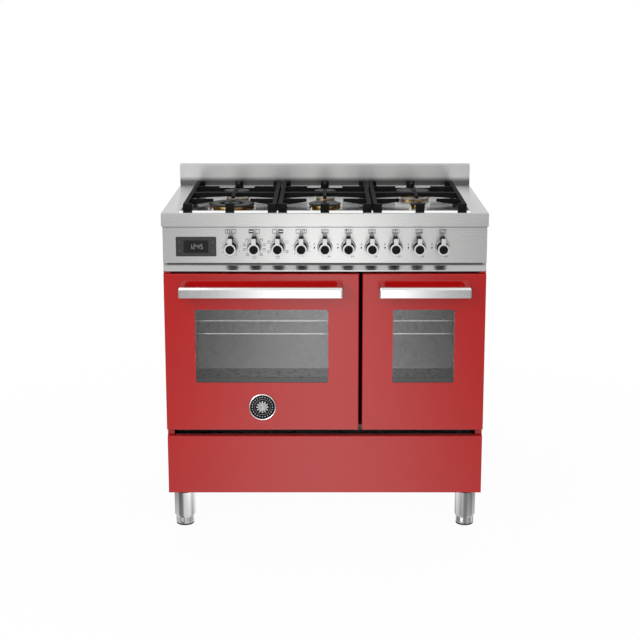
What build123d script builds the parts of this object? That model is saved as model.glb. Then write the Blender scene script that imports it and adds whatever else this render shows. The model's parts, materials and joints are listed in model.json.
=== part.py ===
from build123d import *
import math
import os
from dataclasses import dataclass

# Freestanding range: six gas burners over a main oven, a small oven and a storage drawer.
# Millimetres, +Z up, the front faces -Y, the floor is Z = 0.
os.makedirs("parts", exist_ok=True)

# Heights, stacked from the floor up
leg_height = 100.0
drawer_leg_gap = 1.5
drawer_front_height = 170.5
drawer_door_gap = 21.0
door_height = 450.5
door_rail_gap = 6.0
rail_height = 24.0
panel_height = 103.5
band_height = 38.0
backguard_rise = 65.0

# Widths
main_door_width = 543.0
small_door_width = 343.5
door_gap = 9.5
worktop_side_overhang = 2.0

# Depths
worktop_depth = 600.0
band_overhang = 10.0
panel_setback = 5.0
drawer_setback = 10.0
handle_reach = 55.0
door_to_frame = 56.5
back_recess = 24.5

# Sheet metal
sheet = 2.0
frame_sheet = 3.0
edge_radius = 2.5
seat_gap = 0.3

# Doors
skin_depth = 22.0
skin_lip = 18.0
skin_bottom_lip = 10.0
window_margin = 85.5
window_rise = 138.5
window_height = 210.0
window_corner = 5.0
outer_glass = 4.0
inner_glass = 4.0
outer_glass_lap = 14.0
inner_glass_lap = 12.0
liner_inset = 14.0
liner_top_inset = 6.5
liner_hinge_rise = 24.0
seal_gap = 4.5
seal_width = 10.0
handle_margin = 45.0
handle_drop = 43.0
handle_height = 29.0
handle_bar = 16.0
handle_bracket = 16.0
handle_inner_radius = 10.0
handle_outer_radius = 5.0
handle_bevel = 6.0
handle_bevel_depth = 3.0
medallion_diameter = 77.0
medallion_rise = 68.0
medallion_base = 3.0
medallion_rim = 4.0
medallion_proud = 2.0
medallion_boss = 46.0

# Door hinges: a fixed bracket with a pin, and a knuckle on the door
hinge_setback = 18.0
hinge_rise = 22.0
hinge_inset = 60.0
hinge_boss = 14.0
hinge_arm_low = 8.0
hinge_arm_high = 20.0
bracket_width = 12.0
knuckle_width = 14.0
pin_diameter = 8.0
pin_clearance = 0.05
pin_end = 1.0
side_clearance = 0.5

# Ovens
cavity_margin = 52.0
cavity_rise = 62.0
cavity_height = 330.0
cavity_depth = 400.0
cavity_corner = 12.0
guide_rod = 5.0
guide_rises = (81.0, 119.5, 157.0, 195.5, 233.5)
rack_slots = (3, 4)
guide_front_inset = 55.0
guide_back_inset = 75.0
guide_overrun = 22.0
rack_frame_bar = 6.0
rack_bar = 4.0
rack_pitch = 24.5
rack_front_inset = 14.0
rack_cover_gap = 14.0
grill_drop = 25.0
grill_rod = 7.0
grill_sides = 6
grill_side_inset = 45.0
grill_front_inset = 60.0
grill_bend = 20.0

# Convection fan on the back wall of the main oven
fan_cover_width = 250.0
fan_cover_height = 230.0
fan_cover_depth = 32.0
fan_cover_corner = 20.0
fan_slots = 16
fan_slot_reach = 36.5
fan_slot_length = 27.5
fan_slot_width = 6.0
fan_diameter = 150.0
fan_hub = 34.0
fan_blade = 2.5
fan_blades = 10
fan_height = 16.0
fan_disc = 1.5
fan_wall_gap = 6.0
fan_shaft = 8.0
fan_shaft_hole = 14.0
motor_diameter = 86.0
motor_length = 55.0
motor_socket = 24.0
shaft_end_gap = 1.0

# Hob
rim_front = 30.0
rim_side = 50.0
rim_back = 40.0
recess_depth = 10.0
recess_corner = 14.0
band_return = 14.0
burner_pitch = 263.0
burner_front_row = 138.0
burner_row_pitch = 260.0
cup_lip = 6.0
cup_height = 3.0
cup_neck = 24.0
cup_hole_clearance = 0.5
crown_height = 11.0
port_width = 3.0
port_depth = 6.0
port_length = 7.0
port_pitch = 16.0
cap_overlap = 1.5
cap_thickness = 5.0
cap_edge = 1.5
wok_ring_width = 28.0
wok_inner_diameter = 42.0
spark_diameter = 6.0
spark_height = 13.0

# Pan supports
grate_gap = 5.0
grate_front_gap = 4.0
grate_length = 494.0
grate_rise = 20.0
post_width = 24.0
post_depth = 18.0
rail_width = 12.0
rail_depth = 16.0
mid_bar_width = 24.0
mid_bar_waist = 9.0
low_bar_width = 10.0
low_bar_top = 8.0
finger_width = 10.0
finger_root = 18.0
finger_tip = 8.0
finger_reach = 52.0

# Backguard, display, knobs and controls
backguard_depth = 20.0
display_width = 112.0
display_height = 55.0
display_left = 36.0
display_rise = 46.0
display_bezel = 3.0
display_proud = 1.2
display_body = 14.0
knob_count = 10
oven_knob_count = 4
first_knob_x = -260.0
knob_pitch = 65.0
knob_rise = 44.5
knob_gap = 4.5
knob_base = 37.5
knob_front = 32.5
knob_length = 39.5
knob_plate = 2.5
knob_plate_diameter = 32.0
knob_cap = 22.4
knob_cap_proud = 0.8
fin_width = 12.5
fin_reach = 30.5
stem_diameter = 8.0
stem_in_knob = 23.0
stem_in_tap = 5.0
tap_bore_spare = 5.0
stem_end_gap = 0.2
stem_hole = 12.0
push_travel = 4.0
shaft_diameter = 6.0
shaft_length = 27.0
running_clearance = 0.05
tap_front_gap = 15.5
tap_width = 26.0
tap_height = 30.0
tap_length = 45.0
switch_size = 36.0
switch_depth = 32.0
manifold_size = 18.0
manifold_front_gap = 39.5
manifold_left = 30.0
feed_inset = 18.0
feed_diameter = 16.0
inlet_diameter = 20.96
inlet_length = 18.0
inlet_back_gap = 2.5
pipe_hole_clearance = 1.0

# Vent rail
rail_slope = 12.0
rail_lip = 3.0
rail_proud = 1.0

# Carcass, drawer, legs
frame_overlap = 10.0
frame_drawer_gap = 3.0
base_front_gap = 1.5
base_upstand = 26.0
louvre_count = 11
louvre_pitch = 70.0
louvre_length = 48.0
louvre_height = 8.0
louvre_low = 80.0
louvre_high = 40.0
drawer_lip = 20.0
drawer_box_inset = 16.0
drawer_box_rise = 12.5
drawer_box_height = 126.0
drawer_box_depth = 405.0
slide_width = 6.0
slide_height = 24.0
slide_rise = 36.0
slide_front_inset = 6.0
slide_length = 394.0
runner_gap = 0.3
runner_lip = 5.0
runner_flange = 9.7
runner_front_gap = 6.0
runner_length = 405.0
leg_side_inset = 43.0
leg_front_inset = 41.0
leg_back_inset = 70.0
leg_diameter = 60.0
leg_taper = 3.6
leg_taper_height = 8.0
foot_diameter = 52.0
foot_height = 24.0
foot_pad = 3.0
foot_pad_diameter = 46.0

# Sides of the many-sided outlines that stand for turned pieces and for small pins and bores
turned_sides = 20
pin_sides = 8

# Places that follow from the sizes above
body_width = main_door_width + door_gap + small_door_width
half_body = body_width / 2
inner_half = half_body - sheet
range_width = body_width + 2 * worktop_side_overhang
overall_depth = worktop_depth - band_overhang + handle_reach
back_y = overall_depth / 2
band_y = back_y - worktop_depth
door_y = band_y + band_overhang
panel_y = door_y + panel_setback
drawer_y = door_y + drawer_setback
frame_y = door_y + door_to_frame
frame_back_y = frame_y + frame_sheet
back_panel_y = back_y - back_recess

drawer_z = leg_height + drawer_leg_gap
drawer_top_z = drawer_z + drawer_front_height
door_z = drawer_top_z + drawer_door_gap
door_top_z = door_z + door_height
rail_z = door_top_z + door_rail_gap
panel_z = rail_z + rail_height
band_z = panel_z + panel_height
top_z = band_z + band_height
floor_z = top_z - recess_depth
grate_z = top_z + grate_rise

main_x = -half_body + main_door_width / 2
small_x = half_body - small_door_width / 2
window_z = door_z + window_rise + window_height / 2
skin_back_y = door_y + skin_depth
glass_y = door_y + sheet
liner_back_y = frame_y - seal_gap
hinge_y = door_y + hinge_setback
hinge_z = door_z + hinge_rise
cavity_z = door_z + cavity_rise
cavity_top_z = cavity_z + cavity_height
cavity_mid_z = cavity_z + cavity_height / 2
cavity_back_y = frame_back_y + cavity_depth
rack_depth = cavity_depth - rack_front_inset - rack_cover_gap - fan_cover_depth
guide_levels = [cavity_z + rise for rise in guide_rises]
grate_width = burner_pitch - grate_gap
knob_z = panel_z + knob_rise
knob_back_y = panel_y - knob_gap
tap_y = panel_y + sheet + tap_front_gap
manifold_top_z = knob_z - tap_height / 2
manifold_y = panel_y + manifold_front_gap
feed_x = inner_half - feed_inset
feed_y = manifold_y + manifold_size / 2
feed_z = manifold_top_z - manifold_size / 2
knob_xs = [first_knob_x + knob_pitch * i for i in range(knob_count)]
burner_knob_xs = knob_xs[oven_knob_count:]


@dataclass
class Burner:
    """One gas burner: its column and row on the hob and the diameter of its flame crown."""

    column: int
    row: int
    diameter: float
    wok: bool = False

    @property
    def spot(self):
        return (
            self.column * burner_pitch,
            band_y + burner_front_row + self.row * burner_row_pitch,
        )

    @property
    def radius(self):
        return self.diameter / 2

    @property
    def neck(self):
        return self.radius - cup_lip


burners = (
    Burner(-1, 0, 126.0, wok=True),
    Burner(0, 0, 88.0),
    Burner(1, 0, 42.0),
    Burner(-1, 1, 72.0),
    Burner(0, 1, 60.0),
    Burner(1, 1, 96.0),
)


@dataclass
class Door:
    """One drop-down oven door, and the oven behind it with the loops of its grill element."""

    centre: float
    width: float
    grill_loops: int

    @property
    def window(self):
        return self.width - 2 * window_margin

    @property
    def cavity(self):
        return self.width - 2 * cavity_margin

    @property
    def handle(self):
        return self.width - 2 * handle_margin

    @property
    def hinge_offset(self):
        return self.width / 2 - hinge_inset


main_door = Door(main_x, main_door_width, grill_loops=2)
small_door = Door(small_x, small_door_width, grill_loops=1)
doors = (main_door, small_door)


def across(y):
    """Sketch plane across the range at depth y: local x is X, local y is Z, normal -Y."""
    return Plane.XZ.offset(-y)


def beside(x):
    """Sketch plane along the range at x: local x is Y, local y is Z, normal +X."""
    return Plane.YZ.offset(x)


def span(a, b):
    """Length and middle of the stretch from a to b."""
    return b - a, (a + b) / 2


def turned(radius, mode=Mode.ADD):
    """Outline of a turned piece, with its corners on the radius."""
    return RegularPolygon(radius, turned_sides, mode=mode)


def turned_hole(radius, mode=Mode.ADD):
    """Outline of a hole for a turned piece, with its flats on the radius."""
    return RegularPolygon(radius, turned_sides, major_radius=False, mode=mode)


def turned_slope(radius, end_radius, length):
    """Slope in degrees of the flats of a turned piece that runs from one radius to another."""
    flat_shift = (radius - end_radius) * math.cos(math.pi / turned_sides)
    return math.degrees(math.atan(flat_shift / length))


def pin(radius):
    """Outline of a small pin, with its corners on the radius."""
    return RegularPolygon(radius, pin_sides)


def bore(radius, mode=Mode.ADD):
    """Outline of a small bore, with its flats on the radius."""
    return RegularPolygon(radius, pin_sides, major_radius=False, mode=mode)


# Worktop: a pressed tray with a recessed hob, a rolled front band and a return underneath
with BuildPart() as worktop:
    hob_length, hob_mid = span(band_y + rim_front, back_y - rim_back)
    hob_width = range_width - 2 * rim_side
    with BuildSketch(Plane.XY.offset(band_z)):
        with Locations((0, back_y - worktop_depth / 2)):
            Rectangle(range_width, worktop_depth)
    extrude(amount=band_height)
    fillet(worktop.faces().sort_by(Axis.Z)[-1].edges().sort_by(Axis.Y)[:-1], radius=edge_radius)
    with BuildSketch(Plane.XY.offset(top_z)):
        with Locations((0, hob_mid)):
            RectangleRounded(hob_width, hob_length, recess_corner)
    extrude(amount=-recess_depth, mode=Mode.SUBTRACT)
    with BuildSketch(Plane.XY.offset(band_z + sheet)):
        with Locations((0, back_y - worktop_depth / 2)):
            Rectangle(range_width - 2 * sheet, worktop_depth - 2 * sheet)
    extrude(amount=band_height - recess_depth - 2 * sheet, mode=Mode.SUBTRACT)
    with BuildSketch(Plane.XY.offset(floor_z - sheet)):
        with Locations((0, back_y - worktop_depth / 2)):
            Rectangle(range_width - 2 * sheet, worktop_depth - 2 * sheet)
        with Locations((0, hob_mid)):
            RectangleRounded(
                hob_width + 2 * sheet, hob_length + 2 * sheet, recess_corner + sheet, mode=Mode.SUBTRACT
            )
    extrude(amount=recess_depth, mode=Mode.SUBTRACT)
    with BuildSketch(Plane.XY.offset(band_z)):
        with Locations((0, back_y - worktop_depth / 2)):
            Rectangle(range_width - 2 * band_return, worktop_depth - 2 * band_return)
    extrude(amount=sheet, mode=Mode.SUBTRACT)
    with BuildSketch(Plane.XY.offset(floor_z)):
        for burner in burners:
            with Locations(burner.spot):
                turned_hole(burner.neck + cup_hole_clearance)
    extrude(amount=-2 * sheet, mode=Mode.SUBTRACT)
worktop.part.label = "worktop"
export_step(worktop.part, "parts/worktop.step")

# Backguard: a folded upstand standing on the rear rim, open underneath
with BuildPart() as backguard:
    with BuildSketch(Plane.XY.offset(top_z)):
        with Locations((0, back_y - backguard_depth / 2)):
            Rectangle(range_width, backguard_depth)
    extrude(amount=backguard_rise)
    fillet(backguard.faces().sort_by(Axis.Z)[-1].edges(), radius=edge_radius)
    with BuildSketch(Plane.XY.offset(top_z)):
        with Locations((0, back_y - backguard_depth / 2)):
            Rectangle(range_width - 2 * sheet, backguard_depth - 2 * sheet)
    extrude(amount=backguard_rise - sheet, mode=Mode.SUBTRACT)
backguard.part.label = "backguard"
export_step(backguard.part, "parts/backguard.step")

# Control panel: a folded fascia, open at the back, with holes for the stems and the display
with BuildPart() as control_panel:
    panel_mid = panel_z + panel_height / 2
    with BuildSketch(across(panel_y)):
        with Locations((0, panel_mid)):
            Rectangle(body_width, panel_height)
    extrude(amount=-(frame_y - panel_y))
    with BuildSketch(across(panel_y + sheet)):
        with Locations((0, panel_mid)):
            Rectangle(body_width - 2 * sheet, panel_height - 2 * sheet)
    extrude(amount=-(frame_y - panel_y), mode=Mode.SUBTRACT)
    with BuildSketch(across(panel_y)):
        with Locations([(x, knob_z) for x in knob_xs]):
            bore(stem_hole / 2)
        with Locations((-half_body + display_left + display_width / 2, panel_z + display_rise)):
            Rectangle(display_width - 2 * display_bezel, display_height - 2 * display_bezel)
    extrude(amount=-sheet, mode=Mode.SUBTRACT)
control_panel.part.label = "control_panel"
export_step(control_panel.part, "parts/control_panel.step")

# Clock display: a bezel on the fascia with its body through the cut-out
with BuildPart() as clock_display:
    display_spot = (-half_body + display_left + display_width / 2, panel_z + display_rise)
    with BuildSketch(across(panel_y)):
        with Locations(display_spot):
            Rectangle(display_width, display_height)
    extrude(amount=display_proud)
    with BuildSketch(across(panel_y)):
        with Locations(display_spot):
            Rectangle(
                display_width - 2 * display_bezel - 2 * seat_gap,
                display_height - 2 * display_bezel - 2 * seat_gap,
            )
    extrude(amount=-display_body)
clock_display.part.label = "clock_display"
export_step(clock_display.part, "parts/clock_display.step")

# Vent rail: a sloped strip under the fascia, folded from sheet and open at the back
with BuildPart() as vent_rail:
    lip_y = panel_y - rail_proud
    with BuildSketch(beside(-half_body)):
        with BuildLine():
            Polyline(
                (frame_y, panel_z),
                (panel_y + rail_slope, panel_z),
                (lip_y, rail_z + rail_lip),
                (lip_y, rail_z),
                (frame_y, rail_z),
                close=True,
            )
        make_face()
    extrude(amount=body_width)
    with BuildSketch(beside(-half_body + sheet)):
        with BuildLine():
            Polyline(
                (frame_y, panel_z - sheet),
                (panel_y + rail_slope + sheet, panel_z - sheet),
                (lip_y + sheet, rail_z + rail_lip),
                (lip_y + sheet, rail_z + sheet),
                (frame_y, rail_z + sheet),
                close=True,
            )
        make_face()
    extrude(amount=body_width - 2 * sheet, mode=Mode.SUBTRACT)
vent_rail.part.label = "vent_rail"
export_step(vent_rail.part, "parts/vent_rail.step")

# Side panels: two plain sheets from the base to the worktop
with BuildPart() as side_panels:
    for x in (-half_body, inner_half):
        panel_length, panel_middle = span(frame_y, back_panel_y)
        with BuildSketch(beside(x)):
            with Locations((panel_middle, (leg_height + band_z) / 2)):
                Rectangle(panel_length, band_z - leg_height)
        extrude(amount=sheet)
side_panels.part.label = "side_panels"
export_step(side_panels.part, "parts/side_panels.step")

# Front frame: the enamelled plate that carries the two oven mouths
with BuildPart() as front_frame:
    frame_height, frame_mid = span(drawer_top_z + frame_drawer_gap, panel_z + frame_overlap)
    with BuildSketch(across(frame_y)):
        with Locations((0, frame_mid)):
            Rectangle(2 * inner_half, frame_height)
        for door in doors:
            with Locations((door.centre, cavity_mid_z)):
                RectangleRounded(door.cavity, cavity_height, cavity_corner, mode=Mode.SUBTRACT)
    extrude(amount=-frame_sheet)
front_frame.part.label = "front_frame"
export_step(front_frame.part, "parts/front_frame.step")

# Back panel: a sheet between the sides with two rows of louvre slots and the gas inlet hole
with BuildPart() as back_panel:
    with BuildSketch(across(back_panel_y - sheet)):
        with Locations((0, (leg_height + band_z) / 2)):
            Rectangle(2 * inner_half, band_z - leg_height)
        for height in (leg_height + louvre_low, band_z - louvre_high):
            with Locations((0, height)):
                with GridLocations(louvre_pitch, 1, louvre_count, 1):
                    Rectangle(louvre_length, louvre_height, mode=Mode.SUBTRACT)
        with Locations((feed_x, feed_z)):
            bore(inlet_diameter / 2 + pipe_hole_clearance, mode=Mode.SUBTRACT)
    extrude(amount=-sheet)
back_panel.part.label = "back_panel"
export_step(back_panel.part, "parts/back_panel.step")

# Base frame: a floor pan with upstands along both sides, carried on the legs
with BuildPart() as base_frame:
    base_length, base_mid = span(drawer_y + skin_depth + base_front_gap, back_panel_y - sheet)
    with BuildSketch(Plane.XY.offset(leg_height)):
        with Locations((0, base_mid)):
            Rectangle(2 * inner_half, base_length)
    extrude(amount=sheet)
    with BuildSketch(Plane.XY.offset(leg_height)):
        for x in (-inner_half + sheet / 2, inner_half - sheet / 2):
            with Locations((x, base_mid)):
                Rectangle(sheet, base_length)
    extrude(amount=base_upstand)
base_frame.part.label = "base_frame"
export_step(base_frame.part, "parts/base_frame.step")


def oven_cavity(door, fan):
    """Enamelled box behind one oven mouth, with a shaft hole in its back wall where it has a fan."""
    with BuildPart() as cavity:
        with BuildSketch(across(frame_back_y)):
            with Locations((door.centre, cavity_mid_z)):
                RectangleRounded(door.cavity + 2 * sheet, cavity_height + 2 * sheet, cavity_corner + sheet)
        extrude(amount=-(cavity_depth + sheet))
        with BuildSketch(across(frame_back_y)):
            with Locations((door.centre, cavity_mid_z)):
                RectangleRounded(door.cavity, cavity_height, cavity_corner)
        extrude(amount=-cavity_depth, mode=Mode.SUBTRACT)
        if fan:
            with BuildSketch(across(cavity_back_y)):
                with Locations((door.centre, cavity_mid_z)):
                    bore(fan_shaft_hole / 2)
            extrude(amount=-sheet, mode=Mode.SUBTRACT)
    return cavity


main_oven_cavity = oven_cavity(main_door, fan=True)
main_oven_cavity.part.label = "main_oven_cavity"
export_step(main_oven_cavity.part, "parts/main_oven_cavity.step")

small_oven_cavity = oven_cavity(small_door, fan=False)
small_oven_cavity.part.label = "small_oven_cavity"
export_step(small_oven_cavity.part, "parts/small_oven_cavity.step")

# Door seals: a soft ring round each oven mouth, on the front frame
with BuildPart() as oven_door_seals:
    with BuildSketch(across(frame_y)):
        for door in doors:
            with Locations((door.centre, cavity_mid_z)):
                RectangleRounded(
                    door.cavity + 2 * seal_width, cavity_height + 2 * seal_width, cavity_corner + seal_width
                )
                RectangleRounded(door.cavity, cavity_height, cavity_corner, mode=Mode.SUBTRACT)
    extrude(amount=seal_gap - seat_gap)
oven_door_seals.part.label = "oven_door_seals"
export_step(oven_door_seals.part, "parts/oven_door_seals.step")

# Shelf guides: a ladder of square rod on each side wall of both ovens
with BuildPart() as shelf_guides:
    guide_front_y = frame_back_y + guide_front_inset
    guide_back_y = cavity_back_y - guide_back_inset
    rung_length, rung_mid = span(guide_front_y - guide_overrun, guide_back_y + guide_overrun)
    ladder_height, ladder_mid = span(guide_levels[0] - guide_overrun, guide_levels[-1] + guide_overrun)
    for door in doors:
        for side in (-1, 1):
            wall_x = door.centre + side * door.cavity / 2
            with BuildSketch(beside(wall_x)):
                with Locations((guide_front_y, ladder_mid), (guide_back_y, ladder_mid)):
                    Rectangle(guide_rod, ladder_height)
            extrude(amount=-side * guide_rod)
            with BuildSketch(beside(wall_x - side * guide_rod)):
                with Locations([(rung_mid, level) for level in guide_levels]):
                    Rectangle(rung_length, guide_rod)
            extrude(amount=-side * guide_rod)
shelf_guides.part.label = "shelf_guides"
export_step(shelf_guides.part, "parts/shelf_guides.step")

# Oven racks: two barred shelves in each oven, resting on the guides
with BuildPart() as oven_racks:
    rack_mid_y = frame_back_y + rack_front_inset + rack_depth / 2
    for door in doors:
        rack_width = door.cavity - 2 * guide_rod - 2 * seat_gap
        gap_count = round((rack_width - rack_frame_bar) / rack_pitch)
        gap_pitch = (rack_width - 2 * rack_frame_bar + rack_bar) / gap_count
        for slot in rack_slots:
            with BuildSketch(Plane.XY.offset(guide_levels[slot] + guide_rod / 2)):
                with Locations((door.centre, rack_mid_y)):
                    Rectangle(rack_width, rack_depth)
                    with GridLocations(gap_pitch, 1, gap_count, 1):
                        Rectangle(gap_pitch - rack_bar, rack_depth - 2 * rack_frame_bar, mode=Mode.SUBTRACT)
            extrude(amount=rack_frame_bar)
oven_racks.part.label = "oven_racks"
export_step(oven_racks.part, "parts/oven_racks.step")

# Grill elements: a looped heating rod under the roof of each oven, fed through the back wall
with BuildPart() as grill_elements:
    grill_z = cavity_top_z - grill_drop
    grill_front_y = frame_back_y + grill_front_inset
    grill_turn_y = cavity_back_y - grill_front_inset
    for door in doors:
        run_count = 2 * door.grill_loops
        run_pitch = (door.cavity - 2 * grill_side_inset) / (run_count - 1)
        first_x = door.centre - run_pitch * (run_count - 1) / 2
        route = [(first_x, cavity_back_y)]
        for run in range(run_count - 1):
            turn_y = grill_front_y if run % 2 == 0 else grill_turn_y
            route.append((first_x + run * run_pitch, turn_y))
            route.append((first_x + (run + 1) * run_pitch, turn_y))
        route.append((first_x + (run_count - 1) * run_pitch, cavity_back_y))
        with BuildLine(Plane.XY.offset(grill_z)) as rod_path:
            FilletPolyline(*route, radius=grill_bend)
        with BuildSketch(Plane(origin=rod_path.line @ 0, z_dir=rod_path.line % 0)):
            RegularPolygon(grill_rod / 2, grill_sides)
        sweep(path=rod_path.line)
grill_elements.part.label = "grill_elements"
export_step(grill_elements.part, "parts/grill_elements.step")

# Fan cover: a tray on the back wall with a round intake of radial slots
with BuildPart() as fan_cover:
    cover_y = cavity_back_y - fan_cover_depth
    with BuildSketch(across(cover_y)) as cover_outline:
        with Locations((main_x, cavity_mid_z)):
            Rectangle(fan_cover_width, fan_cover_height)
        chamfer(cover_outline.vertices(), length=fan_cover_corner)
    extrude(amount=-fan_cover_depth)
    with BuildSketch(across(cover_y + sheet)) as cover_inside:
        with Locations((main_x, cavity_mid_z)):
            Rectangle(fan_cover_width - 2 * sheet, fan_cover_height - 2 * sheet)
        chamfer(cover_inside.vertices(), length=fan_cover_corner - sheet)
    extrude(amount=-fan_cover_depth, mode=Mode.SUBTRACT)
    with BuildSketch(across(cover_y)):
        with Locations((main_x, cavity_mid_z)):
            with PolarLocations(fan_slot_reach, fan_slots):
                Rectangle(fan_slot_length, fan_slot_width)
    extrude(amount=-sheet, mode=Mode.SUBTRACT)
fan_cover.part.label = "fan_cover"
export_step(fan_cover.part, "parts/fan_cover.step")

# Convection fan: a bladed wheel on a shaft that runs back into the motor
with BuildPart() as convection_fan:
    wheel_back_y = cavity_back_y - fan_wall_gap
    with BuildSketch(across(wheel_back_y)):
        with Locations((main_x, cavity_mid_z)):
            turned(fan_diameter / 2)
    extrude(amount=fan_disc)
    blade_length, blade_mid = span(fan_hub / 2 - fan_blade, fan_diameter / 2 - fan_blade)
    with BuildSketch(across(wheel_back_y)):
        with Locations((main_x, cavity_mid_z)):
            turned(fan_hub / 2)
            with PolarLocations(blade_mid, fan_blades):
                Rectangle(blade_length, fan_blade)
    extrude(amount=fan_height)
    with BuildSketch(across(wheel_back_y)):
        with Locations((main_x, cavity_mid_z)):
            pin(fan_shaft / 2)
    extrude(amount=-(fan_wall_gap + sheet + motor_socket - shaft_end_gap))
convection_fan.part.label = "convection_fan"
export_step(convection_fan.part, "parts/convection_fan.step")

# Fan motor: a drum on the outside of the back wall, with a socket for the shaft
with BuildPart() as fan_motor:
    with BuildSketch(across(cavity_back_y + sheet)):
        with Locations((main_x, cavity_mid_z)):
            turned(motor_diameter / 2)
    extrude(amount=-motor_length)
    with BuildSketch(across(cavity_back_y + sheet)):
        with Locations((main_x, cavity_mid_z)):
            bore(fan_shaft / 2 + running_clearance)
    extrude(amount=-motor_socket, mode=Mode.SUBTRACT)
fan_motor.part.label = "fan_motor"
export_step(fan_motor.part, "parts/fan_motor.step")

# Burner cups: a flange on the hob floor and a neck down through its hole
with BuildPart() as burner_cups:
    with BuildSketch(Plane.XY.offset(floor_z)):
        for burner in burners:
            with Locations(burner.spot):
                turned(burner.radius + cup_lip)
    extrude(amount=cup_height)
    with BuildSketch(Plane.XY.offset(floor_z)):
        for burner in burners:
            with Locations(burner.spot):
                turned(burner.neck)
    extrude(amount=-cup_neck)
burner_cups.part.label = "burner_cups"
export_step(burner_cups.part, "parts/burner_cups.step")

crown_z = floor_z + cup_height
crown_top_z = crown_z + crown_height


def crown_rings(burner):
    """Outer and inner radius of each flame crown of a burner: the wok burner has two crowns."""
    if burner.wok:
        return ((burner.radius, burner.radius - wok_ring_width), (wok_inner_diameter / 2, 0))
    return ((burner.radius, 0),)


def port_count(radius):
    """Flame ports round a crown: they stand on every second corner of its outline."""
    return round(2 * math.pi * radius / port_pitch)


# Burner heads: brass crowns with a ring of flame ports cut through the upper edge
with BuildPart() as burner_heads:
    with BuildSketch(Plane.XY.offset(crown_z)):
        for burner in burners:
            for outer, inner in crown_rings(burner):
                with Locations(burner.spot):
                    RegularPolygon(outer, 2 * port_count(outer))
                    if inner:
                        turned(inner, mode=Mode.SUBTRACT)
    extrude(amount=crown_height)
    with BuildSketch(Plane.XY.offset(crown_top_z)):
        for burner in burners:
            for outer, inner in crown_rings(burner):
                with Locations(burner.spot):
                    with PolarLocations(outer, port_count(outer)):
                        Rectangle(port_length, port_width)
    extrude(amount=-port_depth, mode=Mode.SUBTRACT)
burner_heads.part.label = "burner_heads"
export_step(burner_heads.part, "parts/burner_heads.step")

# Burner caps: a loose lid on each crown, a ring and a small lid on the wok burner
with BuildPart() as burner_caps:
    with BuildSketch(Plane.XY.offset(crown_top_z)):
        for burner in burners:
            for outer, inner in crown_rings(burner):
                with Locations(burner.spot):
                    turned(outer + cap_overlap)
                    if inner:
                        turned(inner - cap_overlap, mode=Mode.SUBTRACT)
    extrude(amount=cap_thickness)
    chamfer(burner_caps.faces().group_by(Axis.Z)[-1].edges(), length=cap_edge)
burner_caps.part.label = "burner_caps"
export_step(burner_caps.part, "parts/burner_caps.step")

# Igniters: a ceramic spark plug and a flame probe beside each burner
with BuildPart() as igniters:
    with BuildSketch(Plane.XY.offset(floor_z)):
        for burner in burners:
            reach = burner.radius + cup_lip + spark_diameter / 2 + seat_gap
            with Locations(burner.spot):
                with PolarLocations(reach, 2, start_angle=225, angular_range=180):
                    pin(spark_diameter / 2)
    extrude(amount=spark_height)
igniters.part.label = "igniters"
export_step(igniters.part, "parts/igniters.step")


def taper(root, tip, root_depth=finger_root, tip_depth=finger_tip):
    """Side outline of a cast finger: deep where it leaves the rail, shallow at its tip."""
    return (
        (root, grate_z - root_depth),
        (root, grate_z),
        (tip, grate_z),
        (tip, grate_z - tip_depth),
    )


def pan_support(centre):
    """Cast-iron grate over one front and one rear burner, standing on six posts."""
    front = band_y + rim_front + grate_front_gap
    back = front + grate_length
    front_row = band_y + burner_front_row
    back_row = front_row + burner_row_pitch
    middle = (front_row + back_row) / 2
    half = grate_width / 2
    with BuildPart() as grate:
        with BuildSketch(Plane.XY.offset(floor_z)):
            for y in (front + post_depth / 2, back - post_depth / 2):
                with Locations((centre, y)):
                    with GridLocations(half - post_width / 2, 1, 3, 1):
                        Rectangle(post_width, post_depth)
        extrude(amount=grate_z - floor_z)
        with BuildSketch(Plane.XY.offset(floor_z)):
            for y in (front + low_bar_width / 2, back - low_bar_width / 2):
                with Locations((centre, y)):
                    Rectangle(grate_width, low_bar_width)
        extrude(amount=low_bar_top)
        with BuildSketch(Plane.XY.offset(grate_z)):
            with Locations((centre, (front + back) / 2)):
                with GridLocations(grate_width - rail_width, 1, 2, 1):
                    Rectangle(rail_width, grate_length)
        extrude(amount=-rail_depth)
        rail_xs = [centre + side * (half - rail_width / 2) for side in (-1, 1)]
        with BuildSketch(across(middle - mid_bar_width / 2)):
            for root in rail_xs:
                Polygon(*taper(root, centre, rail_depth, mid_bar_waist), align=None)
        extrude(amount=-mid_bar_width)
        for row in (front_row, back_row):
            with BuildSketch(across(row - finger_width / 2)):
                for side, root in zip((-1, 1), rail_xs):
                    Polygon(*taper(root, centre + side * finger_reach), align=None)
            extrude(amount=-finger_width)
        with BuildSketch(beside(centre - finger_width / 2)):
            Polygon(*taper(front + low_bar_width, front_row - finger_reach), align=None)
            Polygon(*taper(middle, front_row + finger_reach, mid_bar_waist), align=None)
            Polygon(*taper(middle, back_row - finger_reach, mid_bar_waist), align=None)
            Polygon(*taper(back - low_bar_width, back_row + finger_reach), align=None)
        extrude(amount=finger_width)
    return grate


pan_support_left = pan_support(-burner_pitch)
pan_support_left.part.label = "pan_support_left"
export_step(pan_support_left.part, "parts/pan_support_left.step")

pan_support_centre = pan_support(0)
pan_support_centre.part.label = "pan_support_centre"
export_step(pan_support_centre.part, "parts/pan_support_centre.step")

pan_support_right = pan_support(burner_pitch)
pan_support_right.part.label = "pan_support_right"
export_step(pan_support_right.part, "parts/pan_support_right.step")

# Legs: a steel column under each corner of the base, and an adjustable foot below it
leg_x = half_body - leg_side_inset
leg_front_y = door_y + leg_front_inset
leg_back_y = back_panel_y - leg_back_inset
leg_spots = [(x, y) for x in (-leg_x, leg_x) for y in (leg_front_y, leg_back_y)]

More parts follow.
